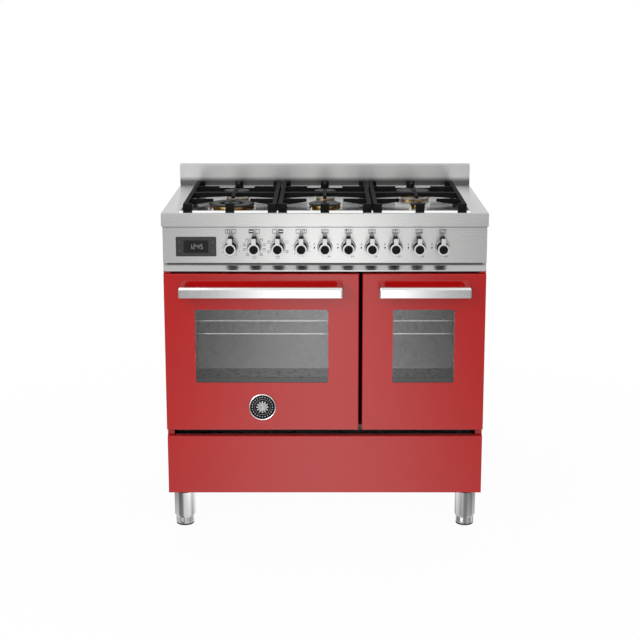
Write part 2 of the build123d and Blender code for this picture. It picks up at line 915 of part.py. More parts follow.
with BuildPart() as leg_tubes:
    taper_top_z = foot_height + leg_taper_height
    with BuildSketch(Plane.XY.offset(foot_height)):
        with Locations(leg_spots):
            turned(leg_diameter / 2 - leg_taper)
    slope = turned_slope(leg_diameter / 2 - leg_taper, leg_diameter / 2, leg_taper_height)
    extrude(amount=leg_taper_height, taper=slope)
    with BuildSketch(Plane.XY.offset(taper_top_z)):
        with Locations(leg_spots):
            turned(leg_diameter / 2)
    extrude(amount=leg_height - taper_top_z)
leg_tubes.part.label = "leg_tubes"
export_step(leg_tubes.part, "parts/leg_tubes.step")

with BuildPart() as leg_feet:
    with BuildSketch(Plane.XY):
        with Locations(leg_spots):
            turned(foot_pad_diameter / 2)
    extrude(amount=foot_pad)
    with BuildSketch(Plane.XY.offset(foot_pad)):
        with Locations(leg_spots):
            turned(foot_diameter / 2)
    extrude(amount=foot_height - foot_pad)
leg_feet.part.label = "leg_feet"
export_step(leg_feet.part, "parts/leg_feet.step")

# Hinge brackets: fixed on the front frame, each reaching forward to a pin inside the door
with BuildPart() as hinge_brackets:
    pin_length = bracket_width + side_clearance + knuckle_width + pin_end
    for door in doors:
        for side in (-1, 1):
            bracket_x = door.centre + side * door.hinge_offset
            arm_length, arm_mid = span(hinge_y - hinge_boss / 2, frame_y)
            with BuildSketch(beside(bracket_x)):
                with Locations((hinge_y, hinge_z)):
                    pin(hinge_boss / 2)
                with Locations((hinge_y, hinge_z + hinge_arm_high / 2)):
                    Rectangle(hinge_boss, hinge_arm_high)
                with Locations((arm_mid, hinge_z + (hinge_arm_low + hinge_arm_high) / 2)):
                    Rectangle(arm_length, hinge_arm_high - hinge_arm_low)
            extrude(amount=side * bracket_width)
            with BuildSketch(beside(bracket_x + side * bracket_width)):
                with Locations((hinge_y, hinge_z)):
                    pin(pin_diameter / 2)
            extrude(amount=-side * pin_length)
hinge_brackets.part.label = "hinge_brackets"
export_step(hinge_brackets.part, "parts/hinge_brackets.step")


def door_hinges(door):
    """Knuckles on the back of the door skin, each with a bore that turns on a hinge pin."""
    with BuildPart() as hinges:
        reach, middle = span(door_y + sheet, hinge_y + hinge_boss / 2)
        for side in (-1, 1):
            knuckle_x = door.centre + side * (door.hinge_offset - side_clearance)
            with BuildSketch(beside(knuckle_x)):
                with Locations((middle, hinge_z)):
                    Rectangle(reach, hinge_boss)
                with Locations((hinge_y, hinge_z)):
                    bore(pin_diameter / 2 + pin_clearance, mode=Mode.SUBTRACT)
            extrude(amount=-side * knuckle_width)
    return hinges


def door_skin(door):
    """Enamelled front of a door: a folded tray with a return lip behind and a window opening."""
    mid_z = door_z + door_height / 2
    with BuildPart() as skin:
        with BuildSketch(across(door_y)):
            with Locations((door.centre, mid_z)):
                Rectangle(door.width, door_height)
        extrude(amount=-skin_depth)
        fillet(skin.faces().sort_by(Axis.Y)[0].edges(), radius=edge_radius)
        with BuildSketch(across(door_y + sheet)):
            with Locations((door.centre, mid_z)):
                Rectangle(door.width - 2 * sheet, door_height - 2 * sheet)
        extrude(amount=-(skin_depth - 2 * sheet), mode=Mode.SUBTRACT)
        with BuildSketch(across(skin_back_y - sheet)):
            open_height, open_mid = span(door_z + skin_bottom_lip, door_top_z - skin_lip)
            with Locations((door.centre, open_mid)):
                Rectangle(door.width - 2 * skin_lip, open_height)
        extrude(amount=-sheet, mode=Mode.SUBTRACT)
        with BuildSketch(across(door_y)):
            with Locations((door.centre, window_z)):
                RectangleRounded(door.window, window_height, window_corner)
        extrude(amount=-sheet, mode=Mode.SUBTRACT)
    return skin


def door_liner(door):
    """Inner side of a door: a tray on the skin's lip, with a tunnel forward to the window glass."""
    low_z = hinge_z + liner_hinge_rise
    height, mid_z = span(low_z, door_top_z - liner_top_inset)
    width = door.width - 2 * liner_inset
    tunnel_y = glass_y + outer_glass + seat_gap
    with BuildPart() as liner:
        with BuildSketch(across(skin_back_y)):
            with Locations((door.centre, mid_z)):
                Rectangle(width, height)
        extrude(amount=-(liner_back_y - skin_back_y))
        with BuildSketch(across(skin_back_y)):
            with Locations((door.centre, mid_z)):
                Rectangle(width - 2 * sheet, height - 2 * sheet)
        extrude(amount=-(liner_back_y - skin_back_y - sheet), mode=Mode.SUBTRACT)
        with BuildSketch(across(tunnel_y)):
            with Locations((door.centre, window_z)):
                RectangleRounded(door.window + 2 * sheet, window_height + 2 * sheet, window_corner + sheet)
        extrude(amount=-(liner_back_y - tunnel_y))
        with BuildSketch(across(tunnel_y)):
            with Locations((door.centre, window_z)):
                RectangleRounded(door.window, window_height, window_corner)
        extrude(amount=-(liner_back_y - tunnel_y), mode=Mode.SUBTRACT)
    return liner


def door_glass(door):
    """Two panes: one behind the skin's window opening, one on the oven side of the liner."""
    with BuildPart() as glass:
        with BuildSketch(across(glass_y)):
            with Locations((door.centre, window_z)):
                Rectangle(door.window + 2 * outer_glass_lap, window_height + 2 * outer_glass_lap)
        extrude(amount=-outer_glass)
        with BuildSketch(across(liner_back_y)):
            with Locations((door.centre, window_z)):
                Rectangle(door.window + 2 * inner_glass_lap, window_height + 2 * inner_glass_lap)
        extrude(amount=-inner_glass)
    return glass


def door_handle(door):
    """Bar handle: a flat bar with its ends turned back to the door and a bevel along the top."""
    handle_z = door_top_z - handle_drop - handle_height / 2
    gap = handle_reach - handle_bar
    with BuildPart() as handle:
        with BuildSketch(Plane.XY.offset(handle_z)):
            with Locations((door.centre, door_y - handle_reach / 2)):
                Rectangle(door.handle, handle_reach)
            with Locations((door.centre, door_y - gap / 2)):
                Rectangle(door.handle - 2 * handle_bracket, gap, mode=Mode.SUBTRACT)
        extrude(amount=handle_height)
        uprights = handle.edges().filter_by(Axis.Z)
        fillet(uprights.group_by(Axis.Y)[0], radius=handle_outer_radius)
        fillet(uprights.group_by(Axis.Y)[1], radius=handle_inner_radius)
        top_front = handle.faces().sort_by(Axis.Z)[-1].edges().filter_by(Axis.X).sort_by(Axis.Y)[0]
        chamfer(top_front, length=handle_bevel, length2=handle_bevel_depth)
    return handle


for name, door in (("main_door", main_door), ("small_door", small_door)):
    pieces = {
        "skin": door_skin(door),
        "liner": door_liner(door),
        "glass": door_glass(door),
        "handle": door_handle(door),
        "hinges": door_hinges(door),
    }
    for piece_name, piece in pieces.items():
        piece.part.label = f"{name}_{piece_name}"
        export_step(piece.part, f"parts/{name}_{piece_name}.step")

# Medallion: a plain round boss with a raised rim, low on the main door
with BuildPart() as main_door_medallion:
    medallion_spot = (main_x, door_z + medallion_rise)
    with BuildSketch(across(door_y)):
        with Locations(medallion_spot):
            turned(medallion_diameter / 2)
    extrude(amount=medallion_base)
    with BuildSketch(across(door_y - medallion_base)):
        with Locations(medallion_spot):
            turned(medallion_diameter / 2)
            turned(medallion_diameter / 2 - medallion_rim, mode=Mode.SUBTRACT)
            turned(medallion_boss / 2)
    extrude(amount=medallion_proud)
main_door_medallion.part.label = "main_door_medallion"
export_step(main_door_medallion.part, "parts/main_door_medallion.step")

# Drawer front: a folded tray like the doors, with a return lip behind
with BuildPart() as drawer_front:
    drawer_mid_z = drawer_z + drawer_front_height / 2
    with BuildSketch(across(drawer_y)):
        with Locations((0, drawer_mid_z)):
            Rectangle(body_width, drawer_front_height)
    extrude(amount=-skin_depth)
    fillet(drawer_front.faces().sort_by(Axis.Y)[0].edges(), radius=edge_radius)
    with BuildSketch(across(drawer_y + sheet)):
        with Locations((0, drawer_mid_z)):
            Rectangle(body_width - 2 * sheet, drawer_front_height - 2 * sheet)
    extrude(amount=-(skin_depth - 2 * sheet), mode=Mode.SUBTRACT)
    with BuildSketch(across(drawer_y + skin_depth - sheet)):
        with Locations((0, drawer_mid_z)):
            Rectangle(body_width - 2 * drawer_lip, drawer_front_height - 2 * drawer_lip)
    extrude(amount=-sheet, mode=Mode.SUBTRACT)
drawer_front.part.label = "drawer_front"
export_step(drawer_front.part, "parts/drawer_front.step")

# Drawer box: an open tray behind the front, with a slide along each side
box_y = drawer_y + skin_depth
box_z = drawer_z + drawer_box_rise
box_half = half_body - drawer_box_inset
slide_y = box_y + slide_front_inset
slide_z = box_z + slide_rise

with BuildPart() as drawer_tray:
    with BuildSketch(Plane.XY.offset(box_z)):
        with Locations((0, box_y + drawer_box_depth / 2)):
            Rectangle(2 * box_half, drawer_box_depth)
    extrude(amount=drawer_box_height)
    with BuildSketch(Plane.XY.offset(box_z + sheet)):
        with Locations((0, box_y + drawer_box_depth / 2)):
            Rectangle(2 * (box_half - sheet), drawer_box_depth - 2 * sheet)
    extrude(amount=drawer_box_height, mode=Mode.SUBTRACT)

with BuildPart() as drawer_slides:
    with BuildSketch(Plane.XY.offset(slide_z)):
        for side in (-1, 1):
            with Locations((side * (box_half + slide_width / 2), slide_y + slide_length / 2)):
                Rectangle(slide_width, slide_length)
    extrude(amount=slide_height)

drawer_solids = [*drawer_tray.part.solids(), *drawer_slides.part.solids()]
drawer_box = Compound(label="drawer_box", children=drawer_solids)
export_step(drawer_box, "parts/drawer_box.step")

# Drawer runners: a channel on each side panel, open towards the drawer, round its slide
with BuildPart() as drawer_runners:
    runner_y = frame_back_y + runner_front_gap
    slide_face = box_half + slide_width
    runner_height = slide_height + 2 * (runner_gap + runner_flange)
    for side in (-1, 1):
        with BuildSketch(across(runner_y)):
            web, web_mid = span(slide_face + runner_gap - runner_lip, inner_half)
            with Locations((side * web_mid, slide_z + slide_height / 2)):
                Rectangle(web, runner_height)
            groove, groove_mid = span(slide_face - slide_width, slide_face + runner_gap)
            with Locations((side * groove_mid, slide_z + slide_height / 2)):
                Rectangle(groove, slide_height + 2 * runner_gap, mode=Mode.SUBTRACT)
        extrude(amount=-runner_length)
drawer_runners.part.label = "drawer_runners"
export_step(drawer_runners.part, "parts/drawer_runners.step")

# Gas manifold: a square rail behind the fascia and the feed pipe to the inlet at the back
with BuildPart() as gas_rail:
    rail_start_x = burner_knob_xs[0] - manifold_left
    with BuildSketch(beside(rail_start_x)):
        with Locations((feed_y, feed_z)):
            Rectangle(manifold_size, manifold_size)
    extrude(amount=inner_half - rail_start_x)
    inlet_y = back_y - inlet_back_gap
    with BuildSketch(across(feed_y)):
        with Locations((feed_x, feed_z)):
            pin(feed_diameter / 2)
    extrude(amount=-(inlet_y - inlet_length - feed_y))
    with BuildSketch(across(inlet_y - inlet_length)):
        with Locations((feed_x, feed_z)):
            Circle(inlet_diameter / 2)
    extrude(amount=-inlet_length)

# Gas taps: one valve body for each burner knob, seated on the rail, with a bore for its stem
with BuildPart() as gas_taps:
    with BuildSketch(across(tap_y)):
        with Locations([(x, knob_z) for x in burner_knob_xs]):
            Rectangle(tap_width, tap_height)
    extrude(amount=-tap_length)
    with BuildSketch(across(tap_y)):
        with Locations([(x, knob_z) for x in burner_knob_xs]):
            bore(stem_diameter / 2 + running_clearance)
    extrude(amount=-(stem_in_tap + push_travel + tap_bore_spare), mode=Mode.SUBTRACT)

manifold_solids = [*gas_rail.part.solids(), *gas_taps.part.solids()]
gas_manifold = Compound(label="gas_manifold", children=manifold_solids)
export_step(gas_manifold, "parts/gas_manifold.step")

# Oven controls: a switch body behind the fascia for each oven knob, with a bore for its shaft
with BuildPart() as oven_controls:
    oven_knob_spots = [(x, knob_z) for x in knob_xs[:oven_knob_count]]
    with BuildSketch(across(panel_y + sheet)):
        with Locations(oven_knob_spots):
            Rectangle(switch_size, switch_size)
        with Locations(oven_knob_spots):
            bore(shaft_diameter / 2 + running_clearance, mode=Mode.SUBTRACT)
    extrude(amount=-switch_depth)
oven_controls.part.label = "oven_controls"
export_step(oven_controls.part, "parts/oven_controls.step")


def knob(x, on_stem):
    """Knob body with its pointer fin, the silver plate on its front and the black cap on the plate."""
    plate_y = knob_back_y - knob_length
    with BuildPart() as body:
        with BuildSketch(across(knob_back_y)):
            with Locations((x, knob_z)):
                turned(knob_base / 2)
        extrude(amount=knob_length, taper=turned_slope(knob_base / 2, knob_front / 2, knob_length))
        with BuildSketch(across(knob_back_y)):
            with Locations((x, knob_z + fin_reach / 2)):
                Rectangle(fin_width, fin_reach)
        extrude(amount=knob_length)
        with BuildSketch(across(knob_back_y)):
            with Locations((x, knob_z)):
                if on_stem:
                    bore(stem_diameter / 2 + running_clearance)
                else:
                    pin(shaft_diameter / 2)
        if on_stem:
            extrude(amount=stem_in_knob + stem_end_gap, mode=Mode.SUBTRACT)
        else:
            extrude(amount=-shaft_length)
    with BuildPart() as plate:
        with BuildSketch(across(plate_y)):
            with Locations((x, knob_z)):
                turned(knob_plate_diameter / 2)
            with Locations((x, knob_z + fin_reach / 2)):
                Rectangle(fin_width, fin_reach)
        extrude(amount=knob_plate)
    with BuildPart() as cap:
        with BuildSketch(across(plate_y - knob_plate)):
            with Locations((x, knob_z)):
                turned(knob_cap / 2)
        extrude(amount=knob_cap_proud)
    return [*body.part.solids(), *plate.part.solids(), *cap.part.solids()]


for number, x in enumerate(knob_xs, start=1):
    knob_name = f"knob_{number:02d}"
    solids = knob(x, on_stem=number > oven_knob_count)
    export_step(Compound(label=knob_name, children=solids), f"parts/{knob_name}.step")

# Tap stems: the spring-loaded spindle of each gas tap, pushed in with its knob
for number, x in enumerate(burner_knob_xs, start=oven_knob_count + 1):
    with BuildPart() as tap_stem:
        with BuildSketch(across(knob_back_y - stem_in_knob)):
            with Locations((x, knob_z)):
                pin(stem_diameter / 2)
        extrude(amount=-(tap_y + stem_in_tap - knob_back_y + stem_in_knob))
    tap_stem.part.label = f"tap_stem_{number:02d}"
    export_step(tap_stem.part, f"parts/tap_stem_{number:02d}.step")
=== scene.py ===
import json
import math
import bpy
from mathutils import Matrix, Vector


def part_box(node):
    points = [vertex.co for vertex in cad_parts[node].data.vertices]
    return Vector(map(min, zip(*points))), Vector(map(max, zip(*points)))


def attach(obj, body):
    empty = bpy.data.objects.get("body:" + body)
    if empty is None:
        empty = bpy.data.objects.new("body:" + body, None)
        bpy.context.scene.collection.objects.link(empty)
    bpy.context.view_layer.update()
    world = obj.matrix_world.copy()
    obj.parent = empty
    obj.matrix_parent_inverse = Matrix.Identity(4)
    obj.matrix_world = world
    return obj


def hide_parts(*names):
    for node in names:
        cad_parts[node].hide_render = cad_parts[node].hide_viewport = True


bl_info = {
    "name": "Freestanding range finish",
    "version": (1, 0, 0),
    "blender": (4, 5, 0),
    "location": "3D View > Sidebar > Range",
    "description": "Builds the visible pieces of a two-oven gas range around its CAD frame",
    "category": "Object",
}

from collections import namedtuple

import bmesh
import bpy
from bpy.props import FloatProperty, FloatVectorProperty, IntProperty, PointerProperty
from bpy.types import Operator, Panel, PropertyGroup
from mathutils import Matrix, Vector

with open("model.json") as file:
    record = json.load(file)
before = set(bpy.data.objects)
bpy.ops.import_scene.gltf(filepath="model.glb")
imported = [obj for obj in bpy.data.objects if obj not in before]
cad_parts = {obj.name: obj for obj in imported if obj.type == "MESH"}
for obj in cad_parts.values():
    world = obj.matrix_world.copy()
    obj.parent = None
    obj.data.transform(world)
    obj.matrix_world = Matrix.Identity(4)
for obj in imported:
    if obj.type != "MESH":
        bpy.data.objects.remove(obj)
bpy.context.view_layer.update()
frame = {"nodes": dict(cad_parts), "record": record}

# Shapes are written in millimetres and scaled to metres when a piece is made
MM = 0.001
CARCASS = "carcass"


def box_mm(node):
    """Low and high corner of a CAD node, in millimetres."""
    low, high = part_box(node)
    return low / MM, high / MM


# Levels and faces of the range, taken from the frame
worktop_low, worktop_high = box_mm("worktop")
panel_low, panel_high = box_mm("control_panel")
cups_low, cups_high = box_mm("burner_cups")
heads_low, heads_high = box_mm("burner_heads")
caps_low, caps_high = box_mm("burner_caps")
back_low, back_high = box_mm("back_panel")
legs_low, legs_high = box_mm("leg_tubes")
PANEL_Y = panel_low.y
HOB_Z = box_mm("pan_support_centre")[0].z
FRAME_Y = box_mm("front_frame")[0].y

# Place of a burner, the diameter of its flame crown, and whether it has a second crown inside
Burner = namedtuple("Burner", "x y crown wok", defaults=(False,))
COLUMN, FRONT_ROW, REAR_ROW = 263.0, -139.5, 120.5
BURNERS = (
    Burner(-COLUMN, FRONT_ROW, 126.0, wok=True),
    Burner(0.0, FRONT_ROW, 88.0),
    Burner(COLUMN, FRONT_ROW, 42.0),
    Burner(-COLUMN, REAR_ROW, 72.0),
    Burner(0.0, REAR_ROW, 60.0),
    Burner(COLUMN, REAR_ROW, 96.0),
)
KNOBS = tuple(f"knob_{number:02d}" for number in range(1, 11))
OVEN_KNOBS = KNOBS[:4]

# Left and right edge of each door's window, and the foot of both windows
WINDOWS = {"main_door": (-362.5, 9.5), "small_door": (190.0, 362.5)}
WINDOW_FOOT = 431.5


# Places: local x and y lie on the face, local z points out of it

def facing_front(x, y, z):
    """Frame on a face that looks to the front: local y is up and local z is -Y."""
    turn = Matrix(((1, 0, 0), (0, 0, -1), (0, 1, 0))).to_4x4()
    return Matrix.Translation((x, y, z)) @ turn


def facing_back(x, y, z):
    """Frame on a face that looks to the back: local y is up and local z is +Y."""
    turn = Matrix(((-1, 0, 0), (0, 0, 1), (0, 1, 0))).to_4x4()
    return Matrix.Translation((x, y, z)) @ turn


def facing_up(x, y, z):
    """Frame on a level face."""
    return Matrix.Translation((x, y, z))


# Turns an outline of (y, z) points so that it is raised along the width
ALONG_WIDTH = Matrix(((0, 0, 1), (1, 0, 0), (0, 1, 0))).to_4x4()


# Mesh shapes

def ring(bm, place, radius, height, steps):
    """One ring of a turned shape, or its single point on the axis."""
    if radius <= 0:
        return [bm.verts.new(place @ Vector((0, 0, height)))]
    angles = [2 * math.pi * step / steps for step in range(steps)]
    return [
        bm.verts.new(place @ Vector((radius * math.cos(a), radius * math.sin(a), height)))
        for a in angles
    ]


def lathe(bm, place, profile, steps=48, closed=False):
    """Turns a profile of (radius, height) pairs round the local z axis; returns its rows of faces."""
    rings = [ring(bm, place, radius, height, steps) for radius, height in profile]
    pairs = list(zip(rings, rings[1:]))
    if closed:
        pairs.append((rings[-1], rings[0]))
    rows = []
    for one, two in pairs:
        row = []
        for step in range(max(len(one), len(two))):
            following = (step + 1) % steps
            corners = [one[step % len(one)], one[following % len(one)]]
            corners += [two[following % len(two)], two[step % len(two)]]
            row.append(bm.faces.new(list(dict.fromkeys(corners))))
        rows.append(row)
    return rows


def prism(bm, place, outline, low, high):
    """Raises a flat outline of (x, y) points from one height to another."""
    bottom = [bm.verts.new(place @ Vector((x, y, low))) for x, y in outline]
    top = [bm.verts.new(place @ Vector((x, y, high))) for x, y in outline]
    bm.faces.new(list(reversed(bottom)))
    bm.faces.new(top)
    count = len(outline)
    for i in range(count):
        j = (i + 1) % count
        bm.faces.new((bottom[i], bottom[j], top[j], top[i]))


def block(bm, low, high):
    """A box between two corners."""
    outline = ((low[0], low[1]), (high[0], low[1]), (high[0], high[1]), (low[0], high[1]))
    prism(bm, Matrix.Identity(4), outline, low[2], high[2])


def on_circle(radius, degrees):
    """Point of a circle round the origin."""
    a = math.radians(degrees)
    return radius * math.cos(a), radius * math.sin(a)


def arc(x, y, radius, start, end, steps):
    """Points of an arc between two angles in degrees."""
    points = []
    for step in range(steps + 1):
        dx, dy = on_circle(radius, start + (end - start) * step / steps)
        points.append((x + dx, y + dy))
    return points


def rounded_rectangle(x, y, width, height, radius, steps=6):
    """Outline of a rectangle with round corners."""
    dx, dy = width / 2 - radius, height / 2 - radius
    points = []
    for quarter, (sx, sy) in enumerate(((1, 1), (-1, 1), (-1, -1), (1, -1))):
        points += arc(x + sx * dx, y + sy * dy, radius, 90 * quarter, 90 * quarter + 90, steps)
    return points


def bent(points, radius, steps=5):
    """A route through points with each inner corner rounded."""
    route = [Vector(points[0])]
    for before, corner, after in zip(points, points[1:], points[2:]):
        corner = Vector(corner)
        start = corner + (Vector(before) - corner).normalized() * radius
        end = corner + (Vector(after) - corner).normalized() * radius
        for step in range(steps + 1):
            t = step / steps
            route.append(start.lerp(corner, t).lerp(corner.lerp(end, t), t))
    route.append(Vector(points[-1]))
    return route


# Pieces

def settle(obj, finish, body, replaced):
    """Gives an object its finish, its body and the CAD nodes that it stands for."""
    bpy.context.collection.objects.link(obj)
    obj.data.materials.append(FINISHES[finish])
    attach(obj, body)
    if replaced:
        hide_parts(*replaced)
    return obj


def piece(name, bm, finish, body=CARCASS, replaced=(), edge=0.0, rounds=2, crease=35.0):
    """Makes a piece from a mesh in millimetres, with its edges rounded by a bevel."""
    bmesh.ops.scale(bm, vec=(MM, MM, MM), verts=bm.verts)
    bmesh.ops.recalc_face_normals(bm, faces=bm.faces)
    mesh = bpy.data.meshes.new(name)
    bm.to_mesh(mesh)
    bm.free()
    mesh.shade_smooth()
    mesh.set_sharp_from_angle(angle=math.radians(crease))
    obj = bpy.data.objects.new(name, mesh)
    if edge:
        bevel = obj.modifiers.new("rounded edges", "BEVEL")
        bevel.width = edge * MM
        bevel.segments = rounds
        bevel.limit_method = "ANGLE"
        bevel.angle_limit = math.radians(crease)
        bevel.harden_normals = True
    return settle(obj, finish, body, replaced)


# Corners of a CAD mesh nearer than this are one, and faces within this angle are one flat face
WELD = 0.01
FLAT_DEGREES = 1


def refined(node, finish, body=CARCASS, edge=1.0, rounds=2, crease=35.0):
    """A copy of a CAD node with its flat faces merged and its sharp edges rounded."""
    bm = bmesh.new()
    bm.from_mesh(frame["nodes"][node].data)
    bmesh.ops.remove_doubles(bm, verts=bm.verts, dist=WELD * MM)
    flat = math.radians(FLAT_DEGREES)
    bmesh.ops.dissolve_limit(bm, angle_limit=flat, verts=bm.verts, edges=bm.edges)
    bmesh.ops.scale(bm, vec=(1 / MM, 1 / MM, 1 / MM), verts=bm.verts)
    return piece(f"{node}_finished", bm, finish, body, (node,), edge, rounds, crease)


def part_finish(obj, finish, chosen):
    """Gives the faces that a test picks a finish of their own."""
    obj.data.materials.append(FINISHES[finish])
    for face in obj.data.polygons:
        face.material_index = int(chosen(face))


def wires(name, routes, radius, finish, replaced=()):
    """Round rods along routes in millimetres, as one piece on the carcass."""
    curve = bpy.data.curves.new(name, "CURVE")
    curve.dimensions = "3D"
    curve.bevel_depth = radius * MM
    curve.bevel_resolution = 2
    curve.use_fill_caps = True
    for route in routes:
        spline = curve.splines.new("POLY")
        spline.points.add(len(route) - 1)
        for point, place in zip(spline.points, route):
            point.co = (*(Vector(place) * MM), 1)
    return settle(bpy.data.objects.new(name, curve), finish, CARCASS, replaced)


# Finishes

SOCKETS = {
    "coat": "Coat Weight",
    "coat_rough": "Coat Roughness",
    "specular": "Specular IOR Level",
    "anisotropy": "Anisotropic",
    "turn": "Anisotropic Rotation",
    "ior": "IOR",
    "glow": "Emission Color",
    "glow_strength": "Emission Strength",
    "transmission": "Transmission Weight",
}
FINISHES = {}

# Noise over a piece's own coordinates: how fine it is, its stretch along the axes and its detail
Grain = namedtuple("Grain", "scale stretch detail", defaults=((1, 1, 1), 4.0))
BRUSHED = Grain(14, (1.0, 160.0, 160.0), 5.0)
ROLLED = Grain(20, (1.0, 12.0, 12.0))
LINEN = Grain(90, (1.0, 20.0, 20.0))
DRAWN = Grain(60, (1.0, 1.0, 0.01), 1.0)
TURNED = Grain(30, (0.6, 0.6, 60.0), 5.0)
HAZE = Grain(160, (0.3, 2.0, 2.0))
PEEL = Grain(420, detail=2.0)
GRIT = Grain(1400, detail=2.0)
FINE_SAND = Grain(1500, detail=2.0)
COARSE_SAND = Grain(520, detail=6.0)


def link(finish, start, end):
    """Joins an output to an input in a finish."""
    finish.node_tree.links.new(start, end)


def shader_of(finish):
    """The finish's shader node."""
    return finish.node_tree.nodes["Principled BSDF"]


def surface_noise(finish, scale, stretch, detail):
    """Noise over the piece's own coordinates."""
    nodes = finish.node_tree.nodes
    place = nodes.new("ShaderNodeTexCoord")
    spread = nodes.new("ShaderNodeMapping")
    spread.inputs["Scale"].default_value = stretch
    noise = nodes.new("ShaderNodeTexNoise")
    noise.inputs["Scale"].default_value = scale
    noise.inputs["Detail"].default_value = detail
    link(finish, place.outputs["Object"], spread.inputs["Vector"])
    link(finish, spread.outputs["Vector"], noise.inputs["Vector"])
    return noise.outputs["Fac"]


def surface_cells(finish, scale):
    """Random cells over the piece's own coordinates."""
    nodes = finish.node_tree.nodes
    place = nodes.new("ShaderNodeTexCoord")
    cells = nodes.new("ShaderNodeTexVoronoi")
    cells.inputs["Scale"].default_value = scale
    link(finish, place.outputs["Object"], cells.inputs["Vector"])
    return cells.outputs


def tones(finish, value, dark, light, low=0.3, high=0.7):
    """Colours the finish between two tones as a value runs from low to high."""
    ramp = finish.node_tree.nodes.new("ShaderNodeValToRGB")
    for element, position, tone in zip(ramp.color_ramp.elements, (low, high), (dark, light)):
        element.position = position
        element.color = (*tone, 1)
    link(finish, value, ramp.inputs["Fac"])
    link(finish, ramp.outputs["Color"], shader_of(finish).inputs["Base Color"])


def gloss(finish, value, smooth, dull, low=0.3, high=0.7):
    """Varies the roughness between two values."""
    span = finish.node_tree.nodes.new("ShaderNodeMapRange")
    span.inputs["From Min"].default_value = low
    span.inputs["From Max"].default_value = high
    span.inputs["To Min"].default_value = smooth
    span.inputs["To Max"].default_value = dull
    link(finish, value, span.inputs["Value"])
    link(finish, span.outputs["Result"], shader_of(finish).inputs["Roughness"])


def relief(finish, value, strength, depth_mm):
    """Raises the surface by a value."""
    bump = finish.node_tree.nodes.new("ShaderNodeBump")
    bump.inputs["Strength"].default_value = strength
    bump.inputs["Distance"].default_value = depth_mm * MM
    link(finish, value, bump.inputs["Height"])
    link(finish, bump.outputs["Normal"], shader_of(finish).inputs["Normal"])


def brush_along_width(finish):
    """Takes X as the direction of the brushing; a quarter turn stretches highlights across it."""
    along = finish.node_tree.nodes.new("ShaderNodeCombineXYZ")
    along.inputs["X"].default_value = 1.0
    link(finish, along.outputs["Vector"], shader_of(finish).inputs["Tangent"])


def make(name, colour, rough, metal=0.0, tone=None, shine=None, bump=None, slot=None, **sockets):
    """Makes a finish: plain values on the shader's own sockets, and grain where it varies.

    tone is a grain and two colours, shine a grain and two roughnesses, and bump a grain, a strength and a
    depth in millimetres. A tone may end with the two levels of noise that its colours stand for. The slot
    is the record's name for the finish, where it has another.
    """
    finish = bpy.data.materials.new(name)
    finish.use_nodes = True
    shader = shader_of(finish)
    shader.inputs["Base Color"].default_value = (*colour, 1.0)
    shader.inputs["Roughness"].default_value = rough
    shader.inputs["Metallic"].default_value = metal
    for socket, value in sockets.items():
        shader.inputs[SOCKETS[socket]].default_value = value
    for vary, given in ((tones, tone), (gloss, shine), (relief, bump)):
        if given:
            grain, *values = given
            vary(finish, surface_noise(finish, *grain), *values)
    FINISHES[slot or name] = finish
    return finish


def paint_foot_shade(finish):
    """Paints shade on the backguard at its foot, darker up to a little above the hob: painted shade where the
    pan supports and the hob shade the steel.
    """
    nodes = finish.node_tree.nodes
    split = nodes.new("ShaderNodeSeparateXYZ")
    link(finish, nodes.new("ShaderNodeTexCoord").outputs["Object"], split.inputs["Vector"])
    dark_to, bright_from = HOB_Z * MM + 0.022, HOB_Z * MM + 0.036
    tones(finish, split.outputs["Z"], (0.13, 0.13, 0.128), (0.66, 0.66, 0.655), dark_to, bright_from)


